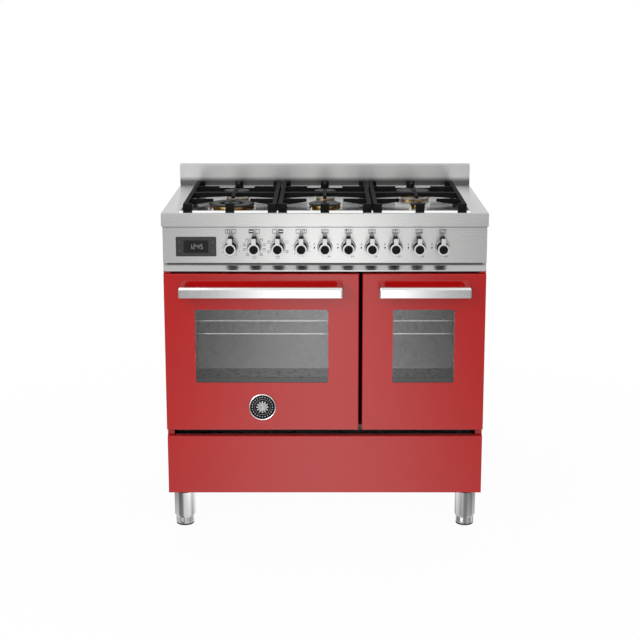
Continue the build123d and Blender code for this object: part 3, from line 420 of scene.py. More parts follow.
def make_steels():
    """Sheet, bar and turned steel."""
    sheet = make("stainless", (0.6, 0.6, 0.595), 0.26, 1.0, anisotropy=0.8, turn=0.25,
                 tone=(BRUSHED, (0.59, 0.59, 0.584), (0.61, 0.61, 0.606)),
                 shine=(BRUSHED, 0.24, 0.28), bump=(BRUSHED, 0.01, 0.03))
    guard = make("backguard_steel", (0.6, 0.6, 0.595), 0.3, 1.0, anisotropy=0.75, turn=0.25,
                 shine=(BRUSHED, 0.27, 0.33))
    for finish in (sheet, guard):
        brush_along_width(finish)
    # The backguard's copy of the steel gets painted shade at its foot
    paint_foot_shade(guard)
    make("hob_steel", (0.7, 0.7, 0.695), 0.15, 1.0, shine=(ROLLED, 0.13, 0.18))
    make("rim_steel", (0.93, 0.93, 0.925), 0.13, 1.0, shine=(ROLLED, 0.11, 0.16))
    make("rail_steel", (0.62, 0.62, 0.615), 0.18, 1.0,
         tone=(BRUSHED, (0.6, 0.6, 0.595), (0.64, 0.64, 0.635)), shine=(BRUSHED, 0.14, 0.22))
    make("drawn_steel", (0.42, 0.42, 0.42), 0.12, 1.0,
         tone=(DRAWN, (0.17, 0.17, 0.17), (0.54, 0.54, 0.54), 0.38, 0.6), shine=(DRAWN, 0.08, 0.16))
    make("satin_steel", (0.68, 0.68, 0.675), 0.32, 1.0,
         tone=(LINEN, (0.65, 0.65, 0.645), (0.71, 0.71, 0.705)), shine=(LINEN, 0.28, 0.38))
    make("turned_steel", (0.6, 0.6, 0.6), 0.2, 1.0,
         tone=(TURNED, (0.55, 0.55, 0.55), (0.64, 0.64, 0.64)), shine=(TURNED, 0.14, 0.24))
    make("polished_steel", (0.78, 0.78, 0.78), 0.12, 1.0, shine=(HAZE, 0.14, 0.24))
    make("rack_chrome", (0.74, 0.74, 0.73), 0.18, 1.0, shine=(Grain(90), 0.12, 0.28))
    make("hinge_steel", (0.42, 0.42, 0.43), 0.38, 1.0,
         tone=(Grain(60), (0.36, 0.36, 0.37), (0.46, 0.46, 0.47)), shine=(Grain(120), 0.3, 0.48))
    make("stem_steel", (0.55, 0.55, 0.56), 0.3, 1.0, shine=(Grain(300), 0.24, 0.38))
    zinc = make("galvanised", (0.5, 0.51, 0.52), 0.42, 0.9)
    spangle = surface_cells(zinc, 70)
    tones(zinc, spangle["Color"], (0.42, 0.43, 0.44), (0.58, 0.59, 0.6), 0.2, 0.8)
    gloss(zinc, spangle["Distance"], 0.34, 0.5, 0.0, 0.7)


def make_castings():
    """Burner metals, cast iron and what stands in the heat."""
    make("cast_aluminium", (0.55, 0.55, 0.56), 0.42, 1.0, slot="burner_aluminium",
         tone=(Grain(40), (0.47, 0.47, 0.48), (0.6, 0.6, 0.61)),
         shine=(Grain(700), 0.36, 0.5), bump=(Grain(700), 0.15, 0.08))
    # The fan's aluminium is darkened: painted shade, so the fan sinks into the dark of the oven
    make("shaded_fan_aluminium", (0.16, 0.16, 0.162), 0.5, 0.2,
         tone=(Grain(40), (0.14, 0.14, 0.142), (0.18, 0.18, 0.182)), shine=(Grain(700), 0.45, 0.6))
    make("turned_brass", (0.34, 0.21, 0.075), 0.26, 1.0, slot="burner_brass",
         tone=(Grain(55), (0.2, 0.115, 0.035), (0.46, 0.3, 0.115)), shine=(Grain(400), 0.18, 0.32))
    make("cast_iron", (0.009, 0.009, 0.0095), 0.55, slot="grate_iron", specular=0.015,
         tone=(Grain(45), (0.007, 0.007, 0.0075), (0.012, 0.012, 0.0125)),
         shine=(COARSE_SAND, 0.48, 0.64), bump=(COARSE_SAND, 0.35, 0.18))
    make("cap_enamel", (0.026, 0.026, 0.027), 0.36, specular=0.03,
         tone=(Grain(30), (0.022, 0.022, 0.023), (0.031, 0.031, 0.032)),
         shine=(Grain(900), 0.3, 0.42), bump=(Grain(900), 0.02, 0.02))
    make("ceramic", (0.78, 0.76, 0.7), 0.35, tone=(Grain(200), (0.7, 0.68, 0.62), (0.82, 0.8, 0.75)))
    make("heating_rod", (0.12, 0.115, 0.11), 0.5, 0.8, slot="element",
         tone=(Grain(25), (0.07, 0.066, 0.062), (0.17, 0.15, 0.135)), shine=(Grain(25), 0.42, 0.6))
    make("door_seal", (0.03, 0.03, 0.03), 0.85, slot="seal",
         tone=(Grain(900), (0.018, 0.018, 0.018), (0.05, 0.05, 0.05)), bump=(Grain(900), 0.6, 0.3))


def make_coatings(enamel):
    """Enamels, paints, plastics, prints and rubber."""
    deep = [0.94 * value for value in enamel]
    make("red_enamel", enamel, 0.4, specular=0.1, coat=1.0, coat_rough=0.03,
         tone=(Grain(3.0), deep, enamel), shine=(PEEL, 0.35, 0.45), bump=(PEEL, 0.015, 0.02))
    oven = make("oven_enamel", (0.16, 0.16, 0.162), 0.3, shine=(Grain(60), 0.22, 0.38))
    specks = surface_cells(oven, 420)
    tones(oven, specks["Distance"], (0.3, 0.3, 0.303), (0.155, 0.155, 0.157), 0.1, 0.22)
    make("grey_coating", (0.11, 0.112, 0.115), 0.55,
         tone=(Grain(300), (0.095, 0.097, 0.1), (0.125, 0.127, 0.13)),
         shine=(GRIT, 0.45, 0.62), bump=(GRIT, 0.25, 0.08))
    make("knob_black", (0.009, 0.009, 0.0095), 0.5, specular=0.012,
         tone=(Grain(80), (0.008, 0.008, 0.0085), (0.013, 0.013, 0.0135)),
         shine=(FINE_SAND, 0.48, 0.62), bump=(FINE_SAND, 0.12, 0.04))
    make("control_plastic", (0.6, 0.58, 0.52), 0.5,
         tone=(Grain(90), (0.56, 0.54, 0.48), (0.62, 0.6, 0.54)))
    make("printed_black", (0.02, 0.02, 0.021), 0.5, specular=0.2,
         tone=(Grain(800), (0.015, 0.015, 0.016), (0.03, 0.03, 0.031)))
    make("printed_grey", (0.07, 0.07, 0.073), 0.45, specular=0.1,
         tone=(Grain(800), (0.06, 0.06, 0.062), (0.085, 0.085, 0.088)))
    make("rubber", (0.02, 0.02, 0.02), 0.75, shine=(Grain(500), 0.65, 0.85))


def make_glass():
    """Oven windows and the clock."""
    make("oven_glass", (0.9, 0.9, 0.897), 0.02, ior=1.52, transmission=1.0, shine=(Grain(8), 0.01, 0.03))
    make("display_glass", (0.025, 0.026, 0.027), 0.12, coat=0.4, coat_rough=0.03,
         tone=(Grain(6), (0.023, 0.024, 0.025), (0.028, 0.029, 0.03)), shine=(Grain(30), 0.08, 0.16))
    make("screen_glass", (0.012, 0.012, 0.013), 0.14, specular=0.2, coat=0.1, coat_rough=0.03,
         tone=(Grain(6), (0.011, 0.011, 0.012), (0.014, 0.014, 0.015)), shine=(Grain(30), 0.1, 0.18))
    make("touch_grey", (0.1, 0.1, 0.102), 0.4,
         tone=(Grain(600), (0.08, 0.08, 0.082), (0.12, 0.12, 0.122)))
    make("lit_digits", (0.4, 0.4, 0.4), 0.4, glow=(0.62, 0.64, 0.66, 1), glow_strength=0.3,
         tone=(Grain(600), (0.36, 0.36, 0.37), (0.44, 0.44, 0.45)))


# User settings

class RangeColours(PropertyGroup):
    """Colours that a user would change."""

    enamel: FloatVectorProperty(
        name="Door enamel",
        description="Colour of the doors and the drawer front",
        subtype="COLOR",
        default=(0.392, 0.0009, 0.0006),
        min=0.0,
        max=1.0,
    )
    floor: FloatVectorProperty(
        name="Studio floor",
        description="Colour of the floor under the range",
        subtype="COLOR",
        default=(0.88, 0.88, 0.88),
        min=0.0,
        max=1.0,
    )


class RangeSizes(PropertyGroup):
    """Sizes of the finishing details."""

    sheet_edge: FloatProperty(
        name="Sheet edge",
        description="Rounding of folded sheet edges",
        default=0.0008,
        unit="LENGTH",
    )
    cast_edge: FloatProperty(
        name="Cast edge",
        description="Rounding of the cast-iron pan supports",
        default=0.0022,
        unit="LENGTH",
    )
    rack_wire: FloatProperty(
        name="Rack wire",
        description="Diameter of the thin bars of an oven rack",
        default=0.0036,
        unit="LENGTH",
    )
    print_height: FloatProperty(
        name="Print height",
        description="How far the printed marks stand on the fascia",
        default=0.00006,
        unit="LENGTH",
    )
    turned_steps: IntProperty(
        name="Turned steps",
        description="Steps round a turned piece",
        default=72,
        min=12,
    )


def sizes():
    return bpy.context.scene.range_sizes


def mm(length):
    """A length property in millimetres."""
    return length / MM


# Operators

class RANGE_OT_frame_finishes(Operator):
    """Make the finishes and give each CAD node the one that its record slot names; the convection fan gets a
    darkened aluminium, painted shade
    """

    bl_idname = "range.frame_finishes"
    bl_label = "Frame finishes"

    def execute(self, context):
        make_steels()
        make_castings()
        make_coatings(context.scene.range_colours.enamel)
        make_glass()
        for part in frame["record"]["subparts"]:
            node = frame["nodes"][part["node"]]
            node.data.materials.clear()
            node.data.materials.append(FINISHES[part["material_slot"]])
        # Darkened aluminium on the fan: painted shade
        frame["nodes"]["convection_fan"].data.materials[0] = FINISHES["shaded_fan_aluminium"]
        return {"FINISHED"}


# A face looks one way when its normal has more than this share in that direction
FACING = 0.9


class RANGE_OT_sheet_metal(Operator):
    """Round the folded edges of the worktop, backguard, fascia and vent rail"""

    bl_idname = "range.sheet_metal"
    bl_label = "Sheet metal"

    def execute(self, context):
        edge = mm(sizes().sheet_edge)
        backguard = refined("backguard", "stainless", edge=edge)
        # The front faces of the backguard take the copy of the steel with painted shade at its foot
        part_finish(backguard, "backguard_steel", lambda face: face.normal.y < -FACING)
        refined("control_panel", "stainless", edge=edge)
        worktop = refined("worktop", "stainless", edge=edge)
        under_rim = worktop_high.z * MM - 0.005
        part_finish(worktop, "hob_steel", lambda face: face.normal.z > FACING and face.center.z < under_rim)
        refined("vent_rail", "rail_steel", edge=edge, crease=25)
        self.front_lip()
        # Painted shade on the vent rail under the fascia
        self.rail_shade_strip()
        # Painted shadow under the worktop band
        self.band_shadow_strip()
        self.side_trims()
        return {"FINISHED"}

    @staticmethod
    def front_lip():
        """Polished strip on the front rim of the hob, rising a little towards the pan supports."""
        front, rear, rim = worktop_low.y + 1.5, worktop_low.y + 28.5, worktop_high.z
        front_rise, rear_rise, half_width = 0.3, 2.6, 400
        outline = [(front, rim), (rear, rim), (rear, rim + rear_rise), (front, rim + front_rise)]
        lip = bmesh.new()
        prism(lip, ALONG_WIDTH, outline, -half_width, half_width)
        piece("front_lip", lip, "rim_steel", edge=0.2)

    @staticmethod
    def rail_shade_strip():
        """Dark strip along the top of the sloped vent rail, under the fascia: painted shade where the
        fascia's overhang shades the rail.
        """
        low, high = box_mm("vent_rail")
        top_y, top_z, fall_y, fall_z = PANEL_Y + 12.0, high.z, -13.0, -21.0
        proud, end, sunk, side_gap = 0.4, 0.36, 0.1, 10
        outline = [(top_y, top_z - sunk), (top_y + fall_y * end, top_z + fall_z * end)]
        outline += [(outline[1][0] - proud, outline[1][1] + proud), (top_y - proud, top_z - sunk)]
        strip = bmesh.new()
        prism(strip, ALONG_WIDTH, outline, low.x + side_gap, high.x - side_gap)
        piece("rail_shade_strip", strip, "grey_coating")

    @staticmethod
    def band_shadow_strip():
        """Dark strip at the top of the fascia, just under the band of the worktop: a painted shadow of the
        band's overhang.
        """
        side_gap, proud, height = 1, 0.1, 4.0
        low = (panel_low.x + side_gap, PANEL_Y - proud, panel_high.z - height)
        shadow_mesh = bmesh.new()
        block(shadow_mesh, low, (panel_high.x - side_gap, PANEL_Y, panel_high.z))
        piece("band_shadow_strip", shadow_mesh, "grey_coating")

    @staticmethod
    def side_trims():
        """Red posts of the carcass that show at both ends of the gaps above and below the doors."""
        door_low, door_high = box_mm("main_door_skin")
        drawer_top = box_mm("drawer_front")[1].z
        rail_bottom = box_mm("vent_rail")[0].z
        width = 19.0
        lower = (33, drawer_top + 0.6, drawer_top + 13.5)
        upper = (48, door_high.z + 0.8, rail_bottom - 0.3)
        trims = bmesh.new()
        for side in (-1, 1):
            outer = -side * door_low.x
            left, right = sorted((outer, outer - side * width))
            for depth, foot, top in (lower, upper):
                block(trims, (left, FRAME_Y - depth, foot), (right, FRAME_Y, top))
        piece("side_trims", trims, "red_enamel", edge=0.5)


class RANGE_OT_pan_supports(Operator):
    """Round the edges of the cast-iron pan supports"""

    bl_idname = "range.pan_supports"
    bl_label = "Pan supports"

    def execute(self, context):
        edge = mm(sizes().cast_edge)
        for side in ("left", "centre", "right"):
            refined(f"pan_support_{side}", "grate_iron", edge=edge, rounds=3)
        return {"FINISHED"}


# Flame ports: distance apart, depth, and the metal left round each one
PORT_PITCH, PORT_DEPTH, PORT_RIM = 5.2, 4.0, 0.35
# Width of the outer crown of the wok burner, and radius of the crown inside it
WOK_RING, WOK_CORE = 28.0, 21.0


def flame_crown(bm, burner, outer, inner):
    """A brass ring with flame ports sunk all round its side."""
    ports = round(2 * math.pi * outer / PORT_PITCH)
    low, high = heads_low.z, heads_high.z
    hole = max(inner, 6.0)
    profile = (
        (hole, low),
        (outer - 0.8, low),
        (outer, low + 0.8),
        (outer, low + 4.5),
        (outer - 0.9, low + 8.5),
        (outer - 1.2, high),
        (hole, high),
    )
    rows = lathe(bm, facing_up(burner.x, burner.y, 0), profile, 2 * ports, closed=True)
    holes = rows[3][::2]
    bmesh.ops.inset_individual(bm, faces=holes, thickness=PORT_RIM)
    centre = Vector((burner.x, burner.y, 0))
    for face in holes:
        inward = (centre - face.calc_center_median()).to_2d().normalized() * PORT_DEPTH
        made = bmesh.ops.extrude_discrete_faces(bm, faces=[face])["faces"]
        verts = {vert for new in made for vert in new.verts}
        bmesh.ops.translate(bm, verts=list(verts), vec=(inward.x, inward.y, 0))


def burner_rings(burner):
    """Outer and inner radius of the crowns of a burner: the wok burner has two."""
    if burner.wok:
        return ((burner.crown / 2, burner.crown / 2 - WOK_RING), (WOK_CORE, 0.0))
    return ((burner.crown / 2, 0.0),)


class RANGE_OT_burners(Operator):
    """Build the burner cups, brass flame crowns, caps and igniters"""

    bl_idname = "range.burners"
    bl_label = "Burners"

    def execute(self, context):
        steps = sizes().turned_steps
        cups, crowns, caps, pins, tips = (bmesh.new() for _ in range(5))
        step_out, overhang = 6.0, 1.5
        for burner in BURNERS:
            place = facing_up(burner.x, burner.y, 0)
            lip, neck = burner.crown / 2 + step_out, burner.crown / 2 - step_out
            cup = (
                (0, cups_high.z),
                (lip - 4.0, cups_high.z),
                (lip - 1.2, cups_high.z - 0.6),
                (lip, HOB_Z + 0.6),
                (lip - 0.4, HOB_Z),
                (neck, HOB_Z),
                (neck, cups_low.z),
                (0, cups_low.z),
            )
            lathe(cups, place, cup, steps)
            for outer, inner in burner_rings(burner):
                flame_crown(crowns, burner, outer, inner)
                self.cap(caps, place, outer + overhang, inner - overhang if inner else 0.0, steps)
            self.igniters(pins, tips, burner, lip)
        for name, shape, slot, replaced in (
            ("burner_cups_cast", cups, "burner_aluminium", ("burner_cups",)),
            ("burner_crowns", crowns, "burner_brass", ("burner_heads",)),
            ("burner_lids", caps, "cap_enamel", ("burner_caps",)),
            ("igniter_pins", pins, "ceramic", ("igniters",)),
            ("igniter_tips", tips, "stem_steel", ()),
        ):
            piece(name, shape, slot, replaced=replaced)
        return {"FINISHED"}

    @staticmethod
    def cap(bm, place, outer, inner, steps):
        """The lid of a crown; the wok burner's outer lid has a hole."""
        low, high = caps_low.z, caps_high.z
        side = [(outer - 0.8, low), (outer, low + 0.8), (outer, high - 2.2), (outer - 0.6, high - 1.0)]
        if inner:
            crown = [(outer - 3.0, high - 0.2), (outer - 8.0, high), (inner + 4.0, high - 0.4)]
            hole = [(inner + 0.8, high - 1.4), (inner, high - 2.4), (inner, low)]
            lathe(bm, place, side + crown + hole, steps, closed=True)
        else:
            crown = [(outer - 2.4, high - 0.3), (outer * 0.7, high), (outer * 0.35, high - 0.15)]
            lathe(bm, place, [(0, low)] + side + crown + [(0, high - 0.2)], steps)

    @staticmethod
    def igniters(pins, tips, burner, lip):
        """A spark igniter and a flame probe on opposite sides of a burner."""
        pin = ((0, 0), (3.0, 0), (3.0, 4.0), (2.2, 5.0), (2.2, 9.0), (1.6, 10.0), (0, 10.0))
        tip = ((0, 9.5), (0.9, 9.5), (0.9, 12.4), (0.4, 13.0), (0, 13.0))
        for angle in (225, 405):
            dx, dy = on_circle(lip + 3.3, angle)
            place = facing_up(burner.x + dx, burner.y + dy, HOB_Z)
            lathe(pins, place, pin, 20)
            lathe(tips, place, tip, 12)


def knob_axis(node, y):
    """Frame on the axis of a knob at a depth, and the radius of the knob."""
    low, high = box_mm(node)
    radius = (high.x - low.x) / 2
    return facing_front((low.x + high.x) / 2, y, low.z + radius), radius


def keyhole(radius, half_bar, reach, corner):
    """Outline of a round plate with a bar rising from it."""
    gap = math.degrees(math.asin(half_bar / radius))
    points = arc(0, 0, radius, 90 + gap, 450 - gap, 40)
    points += arc(half_bar - corner, reach - corner, corner, 0, 90, 5)
    points += arc(-half_bar + corner, reach - corner, corner, 90, 180, 5)
    return points


class RANGE_OT_knobs(Operator):
    """Build the ten knobs: black grip, silver face and black cap, and a thin bezel on the fascia"""

    bl_idname = "range.knobs"
    bl_label = "Knobs"

    def execute(self, context):
        base_y = box_mm("knob_05")[1].y
        bezel = ((19.4, 0), (21.4, 0), (21.1, 0.4), (20.4, 0.5), (19.4, 0.3))
        bezels = bmesh.new()
        for node in KNOBS:
            low, high = box_mm(node)
            place, radius = knob_axis(node, base_y)
            self.build(node, place, radius, base_y - low.y, high.z - low.z - radius)
            lathe(bezels, knob_axis(node, PANEL_Y)[0], bezel, 64, closed=True)
        piece("knob_bezels", bezels, "turned_steel")
        return {"FINISHED"}

    @staticmethod
    def build(node, place, radius, length, reach):
        """One knob: radius and length of its round part, and how far its bar reaches up."""
        body, steps = f"{node}_body", sizes().turned_steps
        plate, half_bar, corner = length - 3.3, 6.25, 2.0
        grip, face, cap = (bmesh.new() for _ in range(3))
        side = ((radius - 1.4, 0.4), (radius - 1.8, 4.6), (radius - 2.6, plate - 0.8), (radius - 3.2, plate))
        lathe(grip, place, ((0, 0.4), *side, (0, plate)), steps)
        fin = arc(half_bar - corner, reach - corner, corner, 0, 90, 4)
        fin += arc(corner - half_bar, reach - corner, corner, 90, 180, 4)
        prism(grip, place, fin + [(-half_bar, 0), (half_bar, 0)], 2.0, plate)
        piece(f"{node}_grip", grip, "knob_black", body, (node,), edge=0.5)
        skirt = ((radius - 2.0, 0), (radius - 0.4, 0), (radius, 0.4), (radius, 2.2), (radius - 0.6, 3.0))
        lathe(face, place, skirt + ((radius - 2.0, 3.2),), steps, closed=True)
        prism(face, place, keyhole(16.0, half_bar, reach, corner), plate, plate + 2.5)
        piece(f"{node}_face", face, "satin_steel", body, edge=0.7)
        button = ((12.0, plate + 2.0), (12.0, length - 0.5), (11.4, length - 0.1), (9.8, length))
        lathe(cap, place, ((0, plate + 2.0), *button, (0, length - 0.1)), 48)
        piece(f"{node}_cap", cap, "knob_black", body)


class RANGE_OT_handles(Operator):
    """Round the edges of the two bar handles"""

    bl_idname = "range.handles"
    bl_label = "Handles"

    def execute(self, context):
        for door in WINDOWS:
            refined(f"{door}_handle", "polished_steel", door, edge=0.6, crease=20)
        return {"FINISHED"}


class RANGE_OT_windows(Operator):
    """Paint a dark band of shade at the foot of each door window and a dark strip of shade between the doors
    """

    bl_idname = "range.windows"
    bl_label = "Window bands"

    def execute(self, context):
        gap, band_height, overlap, proud = 0.1, 15, 4, 1.5
        # A dark band laid on the front of each pane at its foot: painted shade where the door liner shows in
        # shadow behind the glass.
        for door, (left, right) in WINDOWS.items():
            pane_y = box_mm(f"{door}_glass")[0].y
            low = (left + gap, pane_y - 0.12, WINDOW_FOOT + gap)
            band = bmesh.new()
            block(band, low, (right - gap, pane_y - 0.02, WINDOW_FOOT + band_height))
            piece(f"{door}_window_foot_shade", band, "display_glass", door)
        # Dark strip on the front frame between the doors: painted shade in the gap between them.
        door_low, door_high = box_mm("main_door_skin")
        small_low = box_mm("small_door_skin")[0]
        low = (door_high.x - overlap, FRAME_Y - proud, door_low.z)
        strip = bmesh.new()
        block(strip, low, (small_low.x + overlap, FRAME_Y, door_high.z))
        piece("door_gap_shade", strip, "knob_black")
        return {"FINISHED"}


class RANGE_OT_medallion(Operator):
    """Build the plain medallion on the main door: chrome rim, black ring and silver centre"""

    bl_idname = "range.medallion"
    bl_label = "Medallion"

    def execute(self, context):
        low, high = box_mm("main_door_medallion")
        radius, height = (high.x - low.x) / 2, high.y - low.y
        place = facing_front((low.x + high.x) / 2, high.y, (low.z + high.z) / 2)
        steps = sizes().turned_steps
        rim, field, boss = (bmesh.new() for _ in range(3))
        edge = (
            (radius - 4.0, 0),
            (radius, 0),
            (radius, height - 2.0),
            (radius - 0.8, height - 0.5),
            (radius - 2.0, height),
            (radius - 3.2, height - 0.5),
            (radius - 4.0, height - 1.8),
        )
        lathe(rim, place, edge, steps, closed=True)
        lathe(field, place, ((0, 0), (radius - 3.9, 0), (radius - 3.9, 3.0), (0, 3.0)), steps)
        self.rosette(boss, place, steps)
        piece("medallion_rim", rim, "polished_steel", "main_door", ("main_door_medallion",))
        piece("medallion_field", field, "knob_black", "main_door")
        piece("medallion_boss", boss, "hinge_steel", "main_door", crease=50)
        return {"FINISHED"}

    @staticmethod
    def rosette(bm, place, steps):
        """A ring, a circle of beads outside it, and petals round a button inside it."""
        ground, beads, petals = 2.9, 24, 12
        band = ((21.6, ground), (23.0, ground), (22.8, 3.7), (22.3, 4.0), (21.8, 3.7))
        lathe(bm, place, band, steps, closed=True)
        for bead in range(beads):
            a = 2 * math.pi * bead / beads
            spot = place @ Matrix.Translation((28.6 * math.cos(a), 28.6 * math.sin(a), ground))
            lathe(bm, spot, ((0, 0), (2.0, 0), (1.8, 0.8), (1.1, 1.3), (0, 1.5)), 14)
        leaf = [(4.0, 0), (9.0, 2.3), (16.0, 1.9), (18.4, 0), (16.0, -1.9), (9.0, -2.3)]
        for petal in range(petals):
            turned = place @ Matrix.Rotation(2 * math.pi * petal / petals, 4, "Z")
            prism(bm, turned, leaf, ground, 4.1)
        button = ((0, ground), (6.4, ground), (6.2, 4.0), (4.4, 4.7), (2.0, 5.0), (0, 5.0))
        lathe(bm, place, button, 40)


# Heights of the rungs of the shelf guides; the racks lie on the upper ones
RUNGS = (436.0, 474.5, 512.0, 550.5, 588.5)
RACK_RUNGS = RUNGS[3:]


class RANGE_OT_oven_fittings(Operator):
    """Build the round-wire racks, shelf guides and grill rods inside the ovens"""

    bl_idname = "range.oven_fittings"
    bl_label = "Oven fittings"

    def execute(self, context):
        frames, bars, guides, rods = [], [], [], []
        rack_low, rack_high = box_mm("oven_racks")
        grill_low, grill_high = box_mm("grill_elements")
        wall, rack_gap, frame_wire = 2.0, 8.5, 3.0
        front, back = rack_low.y + frame_wire, rack_high.y - frame_wire
        level = (grill_low.z + grill_high.z) / 2
        for oven, loops in (("main_oven_cavity", 2), ("small_oven_cavity", 1)):
            low, high = box_mm(oven)
            left, right = low.x + wall, high.x - wall
            for rung in RACK_RUNGS:
                self.rack(frames, bars, left + rack_gap, right - rack_gap, front, back, rung + 5.5)
            self.guide(guides, left, 1)
            self.guide(guides, right, -1)
            rods.append(self.grill_route(left, right, grill_low.y + 3.5, grill_high.y, level, loops))
        wires("rack_frames", frames, frame_wire, "rack_chrome", ("oven_racks",))
        wires("rack_bars", bars, mm(sizes().rack_wire) / 2, "rack_chrome")
        wires("guide_rods", guides, 2.4, "rack_chrome", ("shelf_guides",))
        wires("grill_rods", rods, 3.4, "element", ("grill_elements",))
        return {"FINISHED"}

    @staticmethod
    def rack(frames, bars, left, right, front, back, z):
        """A frame with round corners, thin bars from front to back and one bar across under them."""
        middle = (left + right) / 2
        corners = [(right, front, z), (right, back, z), (left, back, z), (left, front, z)]
        frames.append(bent([(middle, front, z), *corners, (middle, front, z)], 14.0))
        pitch, lap, foot, top = 24.5, 1.2, z - 1.0, z + 2.6
        near, far = front - lap, back + lap
        count = round((right - left) / pitch)
        for i in range(1, count):
            x = left + (right - left) * i / count
            route = [(x, near, foot), (x, near, top), (x, far, top), (x, far, foot)]
            bars.append(bent(route, 1.5, 3))
        bars.append(((left, (front + back) / 2, z - 0.9), (right, (front + back) / 2, z - 0.9)))

    @staticmethod
    def guide(guides, wall, inward):
        """Two uprights on a wall of an oven and the rungs that they carry."""
        low, high = box_mm("shelf_guides")
        wall_x, upright_x, rung_x = wall + 1.0 * inward, wall + 2.5 * inward, wall + 7.5 * inward
        for y in (low.y + 22.0, high.y - 22.0):
            guides.append(((upright_x, y, low.z), (upright_x, y, high.z)))
        front, back = low.y + 2.5, high.y - 2.5
        for rung in RUNGS:
            route = [(wall_x, front, rung), (rung_x, front, rung), (rung_x, back, rung), (wall_x, back, rung)]
            guides.append(bent(route, 4.0))

    @staticmethod
    def grill_route(left, right, front, back, z, loops):
        """A rod that runs to and fro under the roof of an oven, both ends in the rear wall."""
        inset, turn = 45.0, 60.0
        runs = 2 * loops
        pitch = (right - left - 2 * inset) / (runs - 1)
        points = [(left + inset, back, z)]
        for run in range(runs - 1):
            y = back - turn if run % 2 else front
            points += [(left + inset + pitch * run, y, z), (left + inset + pitch * (run + 1), y, z)]
        points.append((right - inset, back, z))
        return bent(points, 20.0)


class RANGE_OT_legs(Operator):
    """Build the four turned legs with their adjustable feet and pads"""

    bl_idname = "range.legs"
    bl_label = "Legs"

    def execute(self, context):
        steps = sizes().turned_steps
        radius, foot, pad_top = 30.0, 26.0, 4.6
        low, high = legs_low.z, legs_high.z
        column = [(0, high), (radius, high), (radius, low + 8.0), (radius - 0.5, low + 6.4)]
        column += [(radius - 3.2, low + 0.8), (radius - 3.6, low), (0, low)]
        thread = [(foot - 0.7 * (turn % 2), low - 2.0 * turn) for turn in range(1, 9)]
        adjuster = [(0, low), (foot, low), *thread, (foot, 6.0), (foot - 1.0, pad_top), (0, pad_top)]
        pad = ((0, pad_top), (25.4, pad_top), (25.4, 1.6), (24.0, 0), (0, 0))
        columns, adjusters, pads = (bmesh.new() for _ in range(3))
        for x in (legs_low.x + radius, legs_high.x - radius):
            for y in (legs_low.y + radius, legs_high.y - radius):
                place = facing_up(x, y, 0)
                lathe(columns, place, column, steps)
                lathe(adjusters, place, adjuster, steps)
                lathe(pads, place, pad, steps)
        piece("leg_columns", columns, "drawn_steel", replaced=("leg_tubes",))
        piece("leg_adjusters", adjusters, "drawn_steel", replaced=("leg_feet",))
        piece("leg_pads", pads, "rubber")
        return {"FINISHED"}


# Bars of the seven-bar digits that the clock shows
SEGMENTS = {"1": "bc", "2": "abged", "4": "fgbc", "5": "afgcd"}
UPRIGHT_BARS = {"f": (-1, 1), "b": (1, 1), "e": (-1, -1), "c": (1, -1)}
LEVEL_BARS = {"a": 1, "g": 0, "d": -1}


class RANGE_OT_clock(Operator):
    """Build the clock: a glass front, a darker screen, plain lit digits and touch marks"""

    bl_idname = "range.clock"
    bl_label = "Clock display"

    def execute(self, context):
        low, high = box_mm("clock_display")
        width, height = high.x - low.x, high.z - low.z
        place = facing_front((low.x + high.x) / 2, PANEL_Y, (low.z + high.z) / 2)
        front = PANEL_Y - low.y
        mark_top, digit_top = front - 0.08, front - 0.04
        glass, screen, digits, marks = (bmesh.new() for _ in range(4))
        prism(glass, place, rounded_rectangle(0, 0, width, height, 2.5), 0, front - 0.12)
        window = rounded_rectangle(0, 0, width * 0.61, height * 0.64, 1.5)
        prism(screen, place, window, front - 0.2, mark_top)
        for digit, x in zip("1245", (-15.4, -5.6, 6.0, 15.4)):
            for segment in SEGMENTS[digit]:
                self.segment(digits, place, segment, x, digit_top)
        for y in (2.2, -2.2):
            dot = rounded_rectangle(0.3 + y * 0.1, y, 1.1, 1.1, 0.4, 2)
            prism(digits, place, dot, front - 0.1, digit_top)
        for side in (-1, 1):
            for y in (14.5, 10.0, -10.0, -14.5):
                dash = rounded_rectangle(side * 46.5, y, 4.4, 0.9, 0.4, 2)
                prism(marks, place, dash, front - 0.14, mark_top)
        piece("clock_glass", glass, "display_glass", replaced=("clock_display",), edge=0.4)
        piece("clock_screen", screen, "screen_glass")
        piece("clock_marks", marks, "touch_grey")
        piece("clock_digits", digits, "lit_digits")
        return {"FINISHED"}

    @staticmethod
    def segment(bm, place, name, x, top):
        """One bar of a slanted seven-bar digit."""
        half_width, half_height, thick, lean = 2.7, 6.2, 0.75, 0.1
        if name in UPRIGHT_BARS:
            side, half = UPRIGHT_BARS[name]
            middle, wide, high = (side * half_width, half * half_height / 2), thick, half_height - thick
        else:
            middle, wide, high = (0, LEVEL_BARS[name] * half_height), 2 * half_width - thick, thick
        bar = rounded_rectangle(*middle, wide, high, 0.45, 2)
        prism(bm, place, [(x + px + lean * py, py) for px, py in bar], top - 0.06, top)


def mark(bm, place, outline):
    """Prints a flat mark on the fascia."""
    prism(bm, place, outline, 0, mm(sizes().print_height))


def bar_mark(bm, place, x, y, width, height, corner):
    """Prints a bar with its corners rounded."""
    mark(bm, place, rounded_rectangle(x, y, width, height, corner, 1))


def box_mark(bm, place, x, y, width, height, line):
    """Prints an empty rectangle, drawn with four bars."""
    for side in (-1, 1):
        bar_mark(bm, place, x, y + side * (height - line) / 2, width, line, line / 3)
        bar_mark(bm, place, x + side * (width - line) / 2, y, line, height - 2 * line, line / 3)


# Height of the signs above the axis of a knob, and distance of the scales from it
SIGN_HEIGHT = 44.0
SCALE_REACH = 26.0


